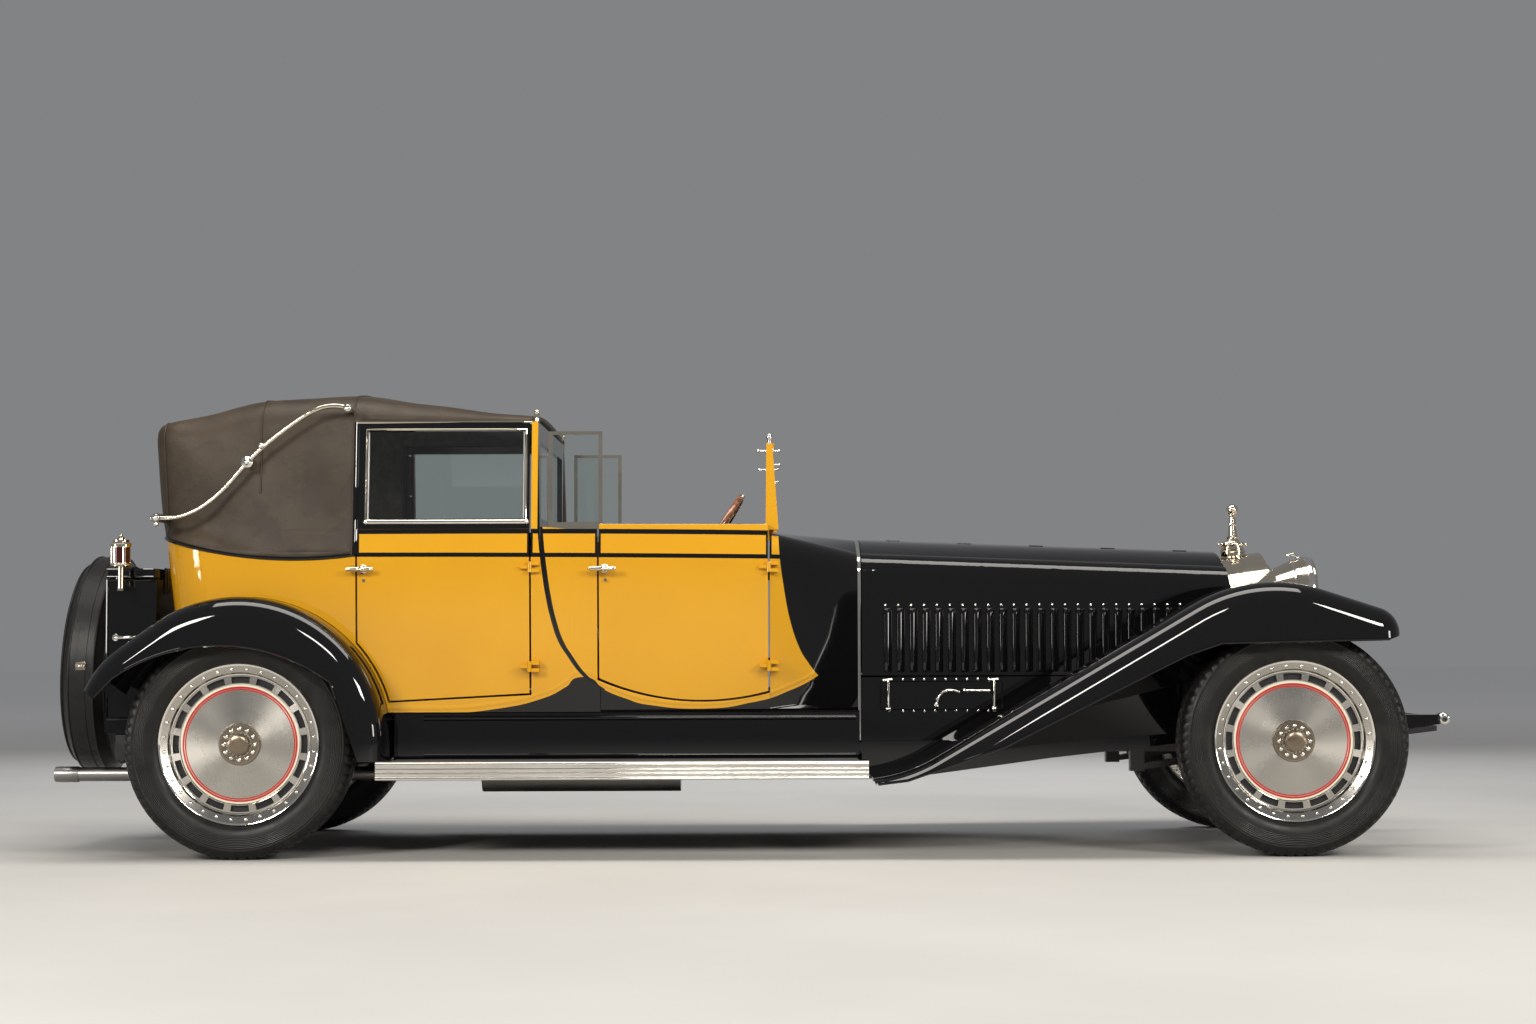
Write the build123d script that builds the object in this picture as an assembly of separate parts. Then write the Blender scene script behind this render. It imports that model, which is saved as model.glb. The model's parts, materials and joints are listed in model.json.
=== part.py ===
from build123d import *
import math
import os

os.makedirs("parts", exist_ok=True)

# Large touring car of about 1930 with an open driver's seat and a leather landau top.
# Millimetres. +X is the nose, +Y the left side, +Z up. The ground is z = 0.

# Running gear
wheelbase = 4300.0
track = 1600.0
rear_axle_x = -2030.0
tyre_radius = 468.0
tyre_width = 180.0
tread_width = 140.0
rim_radius = 328.0
rim_width = 140.0
bead_radius = 305.0
disc_radius = 284.0
disc_thickness = 16.0
disc_face = 34.0
slot_inner_radius = 250.0
slot_outer_radius = 276.0
slot_count = 16
slot_share = 0.72
hub_radius = 80.0
hub_nut_radius = 42.0
hub_nut_length = 30.0
drum_radius = 205.0
drum_depth = 95.0
plate_gap = 6.0
plate_thickness = 8.0
spindle_radius = 38.0
spindle_reach = 45.0
running_clearance = 0.05
end_gap = 3.0
kingpin_inset = 155.0
kingpin_radius = 16.0
eye_radius = 34.0
eye_half_height = 46.0
ear_gap = 6.0
ear_thickness = 24.0
steering_arm_length = 150.0
tie_rod_radius = 11.0
tie_pin_radius = 8.0
axle_beam_depth = 55.0
axle_beam_width = 50.0
axle_beam_top = 395.0
rear_tube_radius = 55.0
differential_radius = 150.0

# Chassis
rail_inner_y = 370.0
rail_width = 60.0
rail_deep_bottom = 300.0
rail_top = 450.0
rail_arch_z = 640.0
rail_knee_z = 500.0
horn_start_z = 560.0
horn_reach = 745.0
horn_tip_z = 543.0
horn_eye_radius = 24.0
horn_bore_radius = 9.0
cross_tube_radius = 30.0
spring_width = 56.0
exhaust_y = -250.0
exhaust_z = 318.0
exhaust_tip_x = -2940.0
exhaust_radius = 30.0
silencer_radius = 80.0
engine_front_gap = 310.0
engine_rear_gap = 181.0
engine_half_width = 230.0
engine_bottom_z = 400.0
engine_top_z = 1120.0

# Fenders and running boards
fender_overhang = 175.0
fender_sheet = 6.0
front_fender_inset = 110.0
rear_fender_inset = 160.0
fender_crown = 95.0
fender_flange = 60.0
board_rear_x = -1460.0
board_front_gap = 1738.0
board_bottom_z = 330.0
board_top_z = 392.0
board_inset = 25.0
apron_inset = 70.0
apron_sheet = 10.0
apron_top_z = 588.0

# Body
body_half_width = 760.0
body_rear_x = -2410.0
body_rear_round = 260.0
body_rear_lean = 0.12
turn_under = 42.0
tumblehome = 46.0
body_wall = 36.0
body_bottom_z = 592.0
belt_low_z = 1240.0
belt_top_z = 1347.0
fit_gap = 1.0
door_gap = 8.0
cowl_rear_x = 135.0
cowl_front_x = 519.0
cowl_narrowing = 76.0
bonnet_rear_half_width = 400.0
arch_radius = 600.0
arch_centre_z = 470.0
rear_door_rear_x = -1572.0
rear_door_front_x = -855.0
front_door_rear_x = -575.0
front_door_front_x = 131.0
front_door_middle_x = -195.0
front_door_lows = (731.0, 640.0, 675.0)
front_door_rise = 20.0
rear_door_low_z = 640.0
door_hinge_out = 14.0
hinge_radius = 9.0
hinge_pin_radius = 5.0
hinge_length = 44.0
hinge_heights = (780.0, 1190.0)
handle_z = 1182.0
handle_inset = 27.0
handle_out = 32.0
handle_behind = 62.0
handle_ahead = 45.0
handle_radius = 8.0
window_frame_top_z = 1790.0
window_sill_z = 1390.0
window_head_z = 1757.0
glass_thickness = 6.0
floor_top_z = 600.0
floor_thickness = 25.0
rear_floor_top_z = 700.0

# Landau top
roof_base_z = 1797.0
roof_front_x = -838.0
top_front_x = -1578.0
leather_thickness = 22.0

# Bonnet, radiator and lamps
bonnet_front_half_width = 322.0
bonnet_rear_top_z = 1322.0
bonnet_front_top_z = 1264.0
bonnet_shoulder_drop = 66.0
bonnet_round = 90.0
bonnet_bottom_z = 733.0
bonnet_sheet = 6.0
bonnet_gap = 7.0
spine_half_width = 8.0
bonnet_hinge_y = 15.0
bonnet_hinge_radius = 5.0
bonnet_pin_radius = 2.5
bonnet_hinge_length = 60.0
bonnet_hinge_count = 5
louvre_count = 24
louvre_start = 104.0
louvre_share = 0.8
louvre_width = 26.0
louvre_height = 10.0
louvre_low_z = 752.0
louvre_high_z = 1014.0
radiator_setback = 170.0
radiator_depth = 180.0
radiator_bottom_z = 540.0
radiator_top_z = 1234.0
radiator_half_width = 340.0
radiator_lean = 8.0
radiator_wall = 40.0
cap_radius = 46.0
cap_height = 60.0
finial_top_z = 1478.0
finial_ball = 26.0
lamp_out = 50.0
lamp_z = 1060.0
lamp_lens_reach = 140.0
lamp_radius = 165.0
lamp_length = 250.0
lamp_bar_radius = 16.0

# Windscreen
screen_x = 145.0
screen_top_z = 1710.0
screen_inset = 54.0
screen_bar = 18.0

# Seats and controls
seat_side_gap = 200.0
seat_fender_gap = 40.0
steer_wheel_x = -101.0
steer_wheel_y = -350.0
steer_wheel_z = 1311.0
steer_wheel_radius = 235.0
steer_rim_radius = 14.0
steer_hub_radius = 30.0
steer_spoke_radius = 7.0
steer_stub_radius = 10.0
column_angle = 32.0
column_radius = 22.0

# Trunk, spare wheel and rear lamps
trunk_front_x = -2450.0
trunk_rear_x = -2655.0
trunk_half_width = 520.0
trunk_bottom_z = 560.0
trunk_top_z = 1150.0
trunk_lid_height = 45.0
trunk_wall = 14.0
lid_gap = 6.0
lid_hinge_radius = 6.0
spare_tilt = 3.0
spare_centre_x = -2780.0
spare_centre_z = 790.0
lantern_x = -2576.0
lantern_out = 100.0
lantern_bottom_z = 1203.0
lantern_top_z = 1312.0

# Places worked out from the sizes above
front_axle_x = rear_axle_x + wheelbase
wheel_y = track / 2
kingpin_y = wheel_y - kingpin_inset
fender_outer_y = wheel_y + fender_overhang
front_fender_inner_y = wheel_y - front_fender_inset
rear_fender_inner_y = wheel_y - rear_fender_inset
board_outer_y = fender_outer_y - board_inset
board_front_x = front_axle_x - board_front_gap
apron_y = body_half_width - apron_inset
cowl_half_width = body_half_width - cowl_narrowing
screen_half_width = cowl_half_width - screen_inset
horn_tip_x = front_axle_x + horn_reach
horn_start_x = horn_tip_x - 179.0
rail_step_x = front_axle_x - 1157.0
rail_knee_x = front_axle_x - 434.0
engine_front_x = front_axle_x - engine_front_gap
engine_rear_x = cowl_front_x + engine_rear_gap
radiator_rear_x = front_axle_x - radiator_setback
lamp_lens_x = front_axle_x + lamp_lens_reach
lantern_y = trunk_half_width + lantern_out
rail_mid_y = rail_inner_y + rail_width / 2
rail_outer_y = rail_inner_y + rail_width
lamp_y = rail_outer_y + lamp_out
drum_inner_y = wheel_y - drum_depth
plate_outer_y = drum_inner_y - plate_gap
spindle_tip_y = wheel_y + spindle_reach
bonnet_length = radiator_rear_x - cowl_front_x
belt_half_width = body_half_width - 8.0
origin_x = (horn_tip_x + exhaust_tip_x) / 2


def loop_face(steps, place):
    """Face inside a closed loop: a start point, then end points, or (via, end) pairs for arcs."""
    edges = []
    here = place(steps[0])
    for step in steps[1:]:
        if isinstance(step[0], tuple):
            via = place(step[0])
            end = place(step[1])
            edges.append(Edge.make_three_point_arc(here, via, end))
        else:
            end = place(step)
            edges.append(Edge.make_line(here, end))
        here = end
    first = place(steps[0])
    if (here - first).length > 0.001:
        edges.append(Edge.make_line(here, first))
    return Face(Wire(edges))


def side_solid(steps, y0, y1):
    """Extrude a loop of (x, z) steps from y0 to y1."""
    face = loop_face(steps, lambda p: Vector(p[0], y0, p[1]))
    return Solid.extrude(face, Vector(0, y1 - y0, 0))


def plan_solid(steps, z0, z1, lean=0.0):
    """Extrude a loop of (x, y) steps from z0 to z1, leaning back by lean mm for each mm of rise."""
    face = loop_face(steps, lambda p: Vector(p[0], p[1], z0))
    return Solid.extrude(face, Vector(-lean * (z1 - z0), 0, z1 - z0))


def section_face(steps, x):
    """Face of (y, z) steps across the car at x."""
    return loop_face(steps, lambda p: Vector(x, p[0], p[1]))


def section_solid(steps, x0, x1):
    """Extrude a loop of (y, z) steps from x0 to x1."""
    return Solid.extrude(section_face(steps, x0), Vector(x1 - x0, 0, 0))


def block(x0, x1, y0, y1, z0, z1):
    """Box between two corners."""
    return Pos((x0 + x1) / 2, (y0 + y1) / 2, (z0 + z1) / 2) * Box(x1 - x0, y1 - y0, z1 - z0)


def rod(start, end, radius):
    """Round bar between two points."""
    axis = Vector(*end) - Vector(*start)
    plane = Plane(origin=start, z_dir=axis)
    return Solid.make_cylinder(radius, axis.length, plane)


def across(x, y0, y1, z, radius):
    """Round bar along Y."""
    return rod((x, y0, z), (x, y1, z), radius)


def upright(x, y, z0, z1, radius):
    """Round bar along Z."""
    return rod((x, y, z0), (x, y, z1), radius)


def turned(profile):
    """Revolve a closed list of (radius, y) points about the Y axis."""
    face = Face(Wire.make_polygon([Vector(r, y, 0) for r, y in profile], close=True))
    return Solid.revolve(face, 360, Axis.Y)


def fused(*shapes):
    """Join shapes that touch or overlap into one."""
    first = shapes[0]
    return first.fuse(*shapes[1:]) if len(shapes) > 1 else first


def other_side(shape):
    """The same piece on the other side of the car."""
    return shape.mirror(Plane.XZ)


def pair(shape):
    """A piece of the left side together with its mirror image."""
    return Compound([*shape.solids(), *other_side(shape).solids()])


def save(node, shape):
    """Write one node, with the origin below the middle of the car's length."""
    export_step(Pos(-origin_x, 0, 0) * shape, os.path.join("parts", node + ".step"))


# Body skin
# Heights between which the body's volume is drawn before it is cut
loft_low_z = 300.0
loft_high_z = 2100.0


def body_section(x, half_width, inset):
    """One cross section of the closed body, drawn inset by a wall."""
    low_z = loft_low_z
    high_z = loft_high_z
    waist = half_width - inset
    foot = waist - turn_under * (belt_low_z - low_z) / (belt_low_z - body_bottom_z)
    belt = waist - (body_half_width - belt_half_width)
    head = belt - tumblehome * (high_z - belt_top_z) / (window_frame_top_z - belt_top_z)
    right = [(foot, low_z), (waist, belt_low_z), (belt, belt_top_z), (head, high_z)]
    left = [(-y, z) for y, z in reversed(right)]
    return section_face(right + left, x)


# Stations of the body from tail to bonnet: x, half width at the waist
body_stations = (
    (-2700.0, body_half_width),
    (front_door_rear_x - 100.0, body_half_width),
    (cowl_rear_x, cowl_half_width),
    (cowl_front_x, bonnet_rear_half_width),
)


def body_volume(inset):
    """Everything inside the body's sides and rear panel, drawn inset by a wall."""
    sections = [body_section(x, width, inset) for x, width in body_stations]
    sides = Solid.make_loft([s.outer_wire() for s in sections], ruled=True)
    rear = body_rear_x + inset
    wide = body_half_width + 100.0
    corner = body_rear_round - inset
    side = body_half_width - inset
    nip = corner * (1 - math.cos(math.radians(45)))
    plan = [
        (rear, side - corner),
        ((rear + nip, side - nip), (rear + corner, side)),
        (rear + corner + 1, wide),
        (cowl_front_x, wide),
        (cowl_front_x, -wide),
        (rear + corner + 1, -wide),
        (rear + corner, -side),
        ((rear + nip, -side + nip), (rear, -side + corner)),
    ]
    shift = body_rear_lean * (belt_top_z - loft_low_z)
    moved = [moved_step(step, shift) for step in plan]
    lean_back = plan_solid(moved, loft_low_z, loft_high_z, body_rear_lean)
    return sides & lean_back


def moved_step(step, dx):
    """A loop step moved along its first axis."""
    if isinstance(step[0], tuple):
        return tuple((p[0] + dx, p[1]) for p in step)
    return (step[0] + dx, step[1])


skin_outer = body_volume(0.0)
skin_inner = body_volume(body_wall)
room = body_volume(body_wall + fit_gap)
body_skin = skin_outer - skin_inner


def middle_sheet(thickness):
    """A sheet of a given thickness in the middle of the body's wall."""
    return body_volume((body_wall - thickness) / 2) - body_volume((body_wall + thickness) / 2)


glass_sheet = middle_sheet(glass_thickness)
big = 1200.0
far = 4000.0


def arch_point(angle, extra=0.0):
    """Point of the rear wheel arch at an angle from the horizontal."""
    reach = arch_radius + extra
    return (
        rear_axle_x + reach * math.cos(math.radians(angle)),
        arch_centre_z + reach * math.sin(math.radians(angle)),
    )


def rear_door_outline(grow):
    """Rear door in side view, its lower rear corner cut by the wheel arch."""
    left = rear_door_rear_x + door_gap / 2 - grow
    right = rear_door_front_x - door_gap / 2 + grow
    reach = arch_radius + 18.0 - grow
    high = math.degrees(math.acos((left - rear_axle_x) / reach))
    low_z = rear_door_low_z - grow
    low = math.degrees(math.asin((low_z - arch_centre_z) / reach))
    start = arch_point(high, reach - arch_radius)
    via = arch_point((high + low) / 2, reach - arch_radius)
    end = arch_point(low, reach - arch_radius)
    head = window_frame_top_z + grow
    return [(left, head), start, (via, end), (right, low_z + 30.0), (right, head)]


def front_door_outline(grow):
    """Front door in side view, with its bottom bowed like the body line."""
    left = front_door_rear_x + door_gap / 2 - grow
    right = front_door_front_x - door_gap / 2 + grow
    top = belt_top_z + front_door_rise + (grow and 100.0)
    rear_low_z, middle_low_z, front_low_z = front_door_lows
    middle = (front_door_middle_x, middle_low_z - grow)
    return [(left, top), (left, rear_low_z - grow), (middle, (right, front_low_z - grow)), (right, top)]


def compartment_line(shift):
    """Side view line where the rear and the front compartment meet, from top to bottom."""
    return [
        (-814.0 + shift, belt_top_z + 10.0),
        ((-777.0 + shift, 1045.0), (-649.0 + shift, 756.0)),
        (-566.0 + shift, 690.0),
        (-566.0 + shift, 560.0),
    ]


def leather_line(drop):
    """Side view line where the leather meets the body, from front to rear."""
    return [(top_front_x, 1243.0 - drop), ((-2150.0, 1256.0 - drop), (body_rear_x - 60.0, 1345.0 - drop))]


def one_side(shape, side):
    """Keep the half of a shape on one side of the car."""
    low_y, high_y = (0, big) if side > 0 else (-big, 0)
    return shape & block(-far, far, low_y, high_y, 0, far)


arch_clear = across(rear_axle_x, -big, big, arch_centre_z, arch_radius + fit_gap)

# Rear body: sides, rear panel and the tapered pillar in front of the rear door
pillar_top_z = roof_base_z - fit_gap
rear_region = [
    leather_line(fit_gap)[0],
    leather_line(fit_gap)[1],
    (body_rear_x - 60.0, 860.0),
    (rear_axle_x, 860.0),
    (-1500.0, body_bottom_z),
    compartment_line(-fit_gap)[3][:1] + (body_bottom_z,),
    compartment_line(-fit_gap)[2],
    compartment_line(-fit_gap)[1][1],
    (compartment_line(-fit_gap)[1][0], compartment_line(-fit_gap)[0]),
    (-826.0, pillar_top_z),
    (-855.0, pillar_top_z),
    (rear_door_front_x, belt_top_z),
    (top_front_x, belt_top_z),
]
rear_body = (body_skin & side_solid(rear_region, -big, big)) - arch_clear
rear_body = rear_body - side_solid(rear_door_outline(door_gap), -big, big)

# Front body: the sides below and behind the front doors
front_region = [
    compartment_line(fit_gap)[0],
    compartment_line(fit_gap)[1],
    compartment_line(fit_gap)[2],
    (compartment_line(fit_gap)[2][0], body_bottom_z + 8.0),
    (cowl_rear_x - fit_gap, body_bottom_z + 8.0),
    (cowl_rear_x - fit_gap, belt_top_z),
    (-700.0, belt_top_z),
]
front_body = body_skin & side_solid(front_region, -big, big)
front_body = front_body - side_solid(front_door_outline(door_gap), -big, big)

# Doors


def rectangle(x0, x1, z0, z1):
    """Corners of a rectangle in side view."""
    return [(x0, z0), (x0, z1), (x1, z1), (x1, z0)]


rear_window = rectangle(-1531.0, -871.0 - door_gap, window_sill_z, window_head_z)
rear_glass_region = rectangle(-1541.0, -861.0 - door_gap, window_sill_z - 10.0, window_head_z + 10.0)
rear_glass = glass_sheet & side_solid(rear_glass_region, -big, big)
slot_region = rectangle(-1531.0 - 11.0, -860.0 - door_gap, window_sill_z - 11.0, window_head_z + 11.0)
glass_slot = middle_sheet(glass_thickness + 0.6) & side_solid(slot_region, -big, big)
rear_doors = body_skin & side_solid(rear_door_outline(0.0), -big, big)
rear_doors = rear_doors - side_solid(rear_window, -big, big) - glass_slot
front_doors = body_skin & side_solid(front_door_outline(0.0), -big, big)

# Door hinges: x of the hinge line, hinge line distance from the middle, heights of the hinges
rear_hinge_y = body_half_width + door_hinge_out
front_hinge_y = cowl_half_width + door_hinge_out + 4.0
hinge_table = (
    ("rear", rear_door_front_x, rear_hinge_y, hinge_heights),
    ("front", front_door_front_x, front_hinge_y, hinge_heights),
)


def hinge_leaf(x0, x1, y_pin, z, half, skin_at):
    """Flat leaf from the skin out to the hinge line."""
    return block(x0, x1, skin_at, y_pin + 2.0, z - half, z + half)


def hinges(x, y_pin, heights):
    """Left side hinges: the part on the door, and the part on the pillar with its pin."""
    on_door = []
    on_pillar = []
    third = hinge_length / 3
    for z in heights:
        lean = turn_under * (belt_low_z - z) / (belt_low_z - body_bottom_z)
        skin_at = y_pin - door_hinge_out - lean - body_wall / 2
        bore = upright(x, y_pin, z - third, z + third, hinge_pin_radius + running_clearance)
        door_part = fused(
            upright(x, y_pin, z - third / 2 + 0.5, z + third / 2 - 0.5, hinge_radius),
            hinge_leaf(x - 40.0, x, y_pin, z, third / 2 - 0.5, skin_at),
        )
        on_door.append(door_part - bore)
        pillar_part = fused(
            upright(x, y_pin, z - hinge_length / 2, z - third / 2, hinge_radius),
            upright(x, y_pin, z + third / 2, z + hinge_length / 2, hinge_radius),
            upright(x, y_pin, z - hinge_length / 2, z + hinge_length / 2, hinge_pin_radius),
            block(x, x + 40.0, skin_at, y_pin + 2.0, z - hinge_length / 2, z - third / 2),
            block(x, x + 40.0, skin_at, y_pin + 2.0, z + third / 2, z + hinge_length / 2),
        )
        on_pillar.append(pillar_part)
    return on_door, on_pillar


hinge_parts = {name: hinges(x, y_pin, heights) for name, x, y_pin, heights in hinge_table}

rear_door_left = one_side(rear_doors, 1)
front_door_left = one_side(front_doors, 1)


def door_handle(door_edge_x):
    """Lever handle on a short stem near the door's rear edge."""
    x = door_edge_x + handle_inset
    lever_y = body_half_width + handle_out
    return fused(
        across(x, body_half_width - body_wall / 2, lever_y, handle_z, handle_radius + 1.0),
        rod((x - handle_behind, lever_y, handle_z), (x + handle_ahead, lever_y, handle_z), handle_radius),
    )


rear_door_left = fused(rear_door_left, *hinge_parts["rear"][0], door_handle(rear_door_rear_x))
front_door_left = fused(front_door_left, *hinge_parts["front"][0], door_handle(front_door_rear_x))
front_pillar_hinges = Compound(hinge_parts["front"][1])

save("rear_door_left", rear_door_left)
save("rear_door_right", other_side(rear_door_left))
save("front_door_left", front_door_left)
save("front_door_right", other_side(front_door_left))
save("rear_door_glass_left", one_side(rear_glass, 1))
save("rear_door_glass_right", one_side(rear_glass, -1))

rear_hinges = hinge_parts["rear"][1]
rear_body = rear_body.fuse(*rear_hinges, *[other_side(part) for part in rear_hinges])
save("rear_body", rear_body)
save("front_body", front_body)

# Cowl


def arch_steps(half_width, bottom_z, shoulder_z, top_z, lean_in=0.0):
    """Cross section with upright sides, round shoulders and a crowned top, as (y, z) steps."""
    r = min(bonnet_round, half_width / 3)
    nip = r * (1 - math.cos(math.radians(45)))
    right = [
        (half_width - lean_in, bottom_z),
        (half_width, shoulder_z - r),
        ((half_width - nip, shoulder_z - nip), (half_width - r, shoulder_z)),
    ]
    crown = (
        (0.0, top_z),
        (-half_width + r, shoulder_z),
    )
    left = [
        ((-half_width + nip, shoulder_z - nip), (-half_width, shoulder_z - r)),
        (-half_width + lean_in, bottom_z),
    ]
    return right + [crown] + left


def arch_loft(stations):
    """Ruled loft of arch sections; each station is x, half width, bottom z, shoulder z, top z, lean in."""
    wires = [section_face(arch_steps(*station[1:]), station[0]).outer_wire() for station in stations]
    return Solid.make_loft(wires, ruled=True)


def cowl_volume(inset, run_on):
    """Inside of the cowl's skin, drawn inset, running on past both ends."""
    rear = (
        cowl_rear_x - run_on,
        cowl_half_width - inset,
        body_bottom_z + 8.0 - run_on,
        belt_top_z - 12.0 - inset,
        belt_top_z + 8.0 - inset,
        turn_under,
    )
    front = (
        cowl_front_x + run_on,
        bonnet_rear_half_width - inset,
        body_bottom_z + 8.0 - run_on,
        bonnet_rear_top_z - bonnet_shoulder_drop - inset,
        bonnet_rear_top_z - inset,
        0.0,
    )
    return arch_loft((rear, front))


cowl = cowl_volume(0.0, 0.0) - cowl_volume(body_wall / 2, 1.0)
spine = block(
    cowl_front_x - 4.0,
    radiator_rear_x - 2.0,
    -spine_half_width,
    spine_half_width,
    bonnet_rear_top_z - 14.0,
    bonnet_rear_top_z - 2.0,
)
spine_drop = math.degrees(math.atan((bonnet_rear_top_z - bonnet_front_top_z) / bonnet_length))
spine = spine.rotate(Axis((cowl_front_x, 0, bonnet_rear_top_z), (0, 1, 0)), spine_drop)
front_hinges = list(front_pillar_hinges.solids())


def bonnet_hinge_at(k):
    """Middle of one bonnet hinge and the way its pin points."""
    share = (k + 0.5) / bonnet_hinge_count
    x = cowl_front_x + share * bonnet_length
    z = bonnet_rear_top_z + share * (bonnet_front_top_z - bonnet_rear_top_z)
    way = Vector(bonnet_length, 0, bonnet_front_top_z - bonnet_rear_top_z).normalized()
    return Vector(x, bonnet_hinge_y, z), way


def bonnet_barrel(k, start, end, radius):
    """Round piece about the bonnet's hinge line, from start to end along it."""
    middle, way = bonnet_hinge_at(k)
    return rod(tuple(middle + way * start), tuple(middle + way * end), radius)


hinge_end = bonnet_hinge_length / 2
hinge_third = bonnet_hinge_length / 6
spine_barrels = []
for k in range(bonnet_hinge_count):
    for start, end in ((-hinge_end, -hinge_third), (hinge_third, hinge_end)):
        barrel = bonnet_barrel(k, start, end, bonnet_hinge_radius)
        reach = barrel.bounding_box()
        web_top = reach.max.Z - 2 - bonnet_pin_radius
        web = block(reach.min.X + 1, reach.max.X - 1, 0, bonnet_hinge_y, reach.min.Z + 1, web_top)
        spine_barrels.append(barrel.fuse(web))
    spine_barrels.append(bonnet_barrel(k, -hinge_end, hinge_end, bonnet_pin_radius))
spine = spine.fuse(*spine_barrels, *[other_side(part) for part in spine_barrels])
cowl = cowl.fuse(spine, *front_hinges, *[other_side(part) for part in front_hinges])
save("cowl", cowl)

# Bonnet


def bonnet_station(x, inset, bottom_z):
    """Section sizes on the straight lines from the cowl to the radiator."""
    share = (x - cowl_front_x) / bonnet_length
    half_width = bonnet_rear_half_width + share * (bonnet_front_half_width - bonnet_rear_half_width)
    top_z = bonnet_rear_top_z + share * (bonnet_front_top_z - bonnet_rear_top_z)
    return (x, half_width - inset, bottom_z, top_z - bonnet_shoulder_drop - inset, top_z - inset, 0.0)


def bonnet_volume(inset, run_on):
    """Inside of the bonnet's skin, drawn inset, running on past both ends."""
    rear = bonnet_station(cowl_front_x + bonnet_gap - run_on, inset, bonnet_bottom_z - run_on)
    front = bonnet_station(radiator_rear_x + 60.0 + run_on, inset, bonnet_bottom_z - run_on)
    return arch_loft((rear, front))


def leaned(shape):
    """Lean a shape back about the foot of the radiator."""
    return shape.rotate(Axis((radiator_rear_x, 0, radiator_top_z), (0, 1, 0)), -radiator_lean)


bonnet_skin = bonnet_volume(0.0, 0.0) - bonnet_volume(bonnet_sheet, 1.0)
ahead_of_bonnet = leaned(block(radiator_rear_x - bonnet_gap, radiator_rear_x + 600.0, -big, big, 0, 1800.0))
spine_room = block(0, far, -bonnet_hinge_y, bonnet_hinge_y, 1000, far)
bonnet_left = one_side(bonnet_skin - ahead_of_bonnet - spine_room, 1)
for k in range(bonnet_hinge_count):
    clear = bonnet_barrel(k, -hinge_end - 2.0, hinge_end + 2.0, bonnet_hinge_radius + 3.0)
    eye = bonnet_barrel(k, 1.0 - hinge_third, hinge_third - 1.0, bonnet_hinge_radius)
    middle, way = bonnet_hinge_at(k)
    leaf_x = hinge_third - 1.0
    leaf_y = bonnet_hinge_y + 14.0
    leaf = block(middle.X - leaf_x, middle.X + leaf_x, bonnet_hinge_y, leaf_y, middle.Z - 5.0, middle.Z - 1.0)
    bore = bonnet_barrel(k, -hinge_end, hinge_end, bonnet_pin_radius + running_clearance)
    bonnet_left = (bonnet_left - clear).fuse(eye, leaf) - bore


def louvre(x):
    """Raised vent on the side of the left bonnet, open to the rear."""
    skin_y = bonnet_station(x, 0.0, bonnet_bottom_z)[1]
    front_x = x + louvre_width
    front_y = bonnet_station(front_x, 0.0, bonnet_bottom_z)[1]
    steps = [
        (x, skin_y - 2.0),
        (x, skin_y + louvre_height),
        (x + louvre_width / 4, skin_y + louvre_height),
        (front_x, front_y - 2.0),
    ]
    return plan_solid(steps, louvre_low_z, louvre_high_z)


louvre_pitch = louvre_share * bonnet_length / (louvre_count - 1)
louvres = [louvre(cowl_front_x + louvre_start + louvre_pitch * k) for k in range(louvre_count)]
bonnet_left = bonnet_left.fuse(*louvres)
save("bonnet_left", bonnet_left)
save("bonnet_right", other_side(bonnet_left))

# Fixed side panels below the bonnet, standing on the rails


def rail_top_at(x):
    """Top of the rail ahead of the knee, where it climbs to the horn."""
    share = (x - rail_knee_x) / (horn_start_x - rail_knee_x)
    return rail_knee_z + share * (horn_start_z - rail_knee_z)


panel_top_z = bonnet_bottom_z - bonnet_gap
panel_front_x = radiator_rear_x - 20.0


def panel_volume(inset):
    """Inside of the side panels, drawn inset, in line with the bonnet above."""
    rear = bonnet_station(cowl_front_x + fit_gap, inset, rail_top - 50.0)
    front = bonnet_station(radiator_rear_x + 60.0, inset, rail_top - 50.0)
    return arch_loft((rear, front))


rail_line = [
    (cowl_front_x + fit_gap, rail_top),
    (rail_step_x, rail_top),
    (rail_knee_x, rail_knee_z),
    (panel_front_x, rail_top_at(panel_front_x)),
]
panel_side = [*rail_line, (panel_front_x, panel_top_z), (cowl_front_x + fit_gap, panel_top_z)]
ledge_side = [*rail_line, *[(x, z + bonnet_sheet) for x, z in reversed(rail_line)]]
panels = (panel_volume(0.0) - panel_volume(bonnet_sheet)) & side_solid(panel_side, -big, big)
ledge = side_solid(ledge_side, 250.0, rail_outer_y - 4.0) - panel_volume(bonnet_sheet / 2)
side_panel = one_side(panels, 1).fuse(ledge)
save("side_panels", pair(side_panel))

# Radiator


def radiator_steps(inset):
    """Horseshoe outline of the radiator, as (y, z) steps."""
    foot = radiator_half_width * 0.86 - inset
    wide = radiator_half_width - inset
    top = radiator_top_z - inset
    low = radiator_bottom_z + inset
    waist_z = 905.0
    return [
        (foot, low),
        (wide, waist_z),
        ((wide * 0.76, top - (top - waist_z) * 0.26), (0.0, top)),
        ((-wide * 0.76, top - (top - waist_z) * 0.26), (-wide, waist_z)),
        (-foot, low),
    ]


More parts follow.
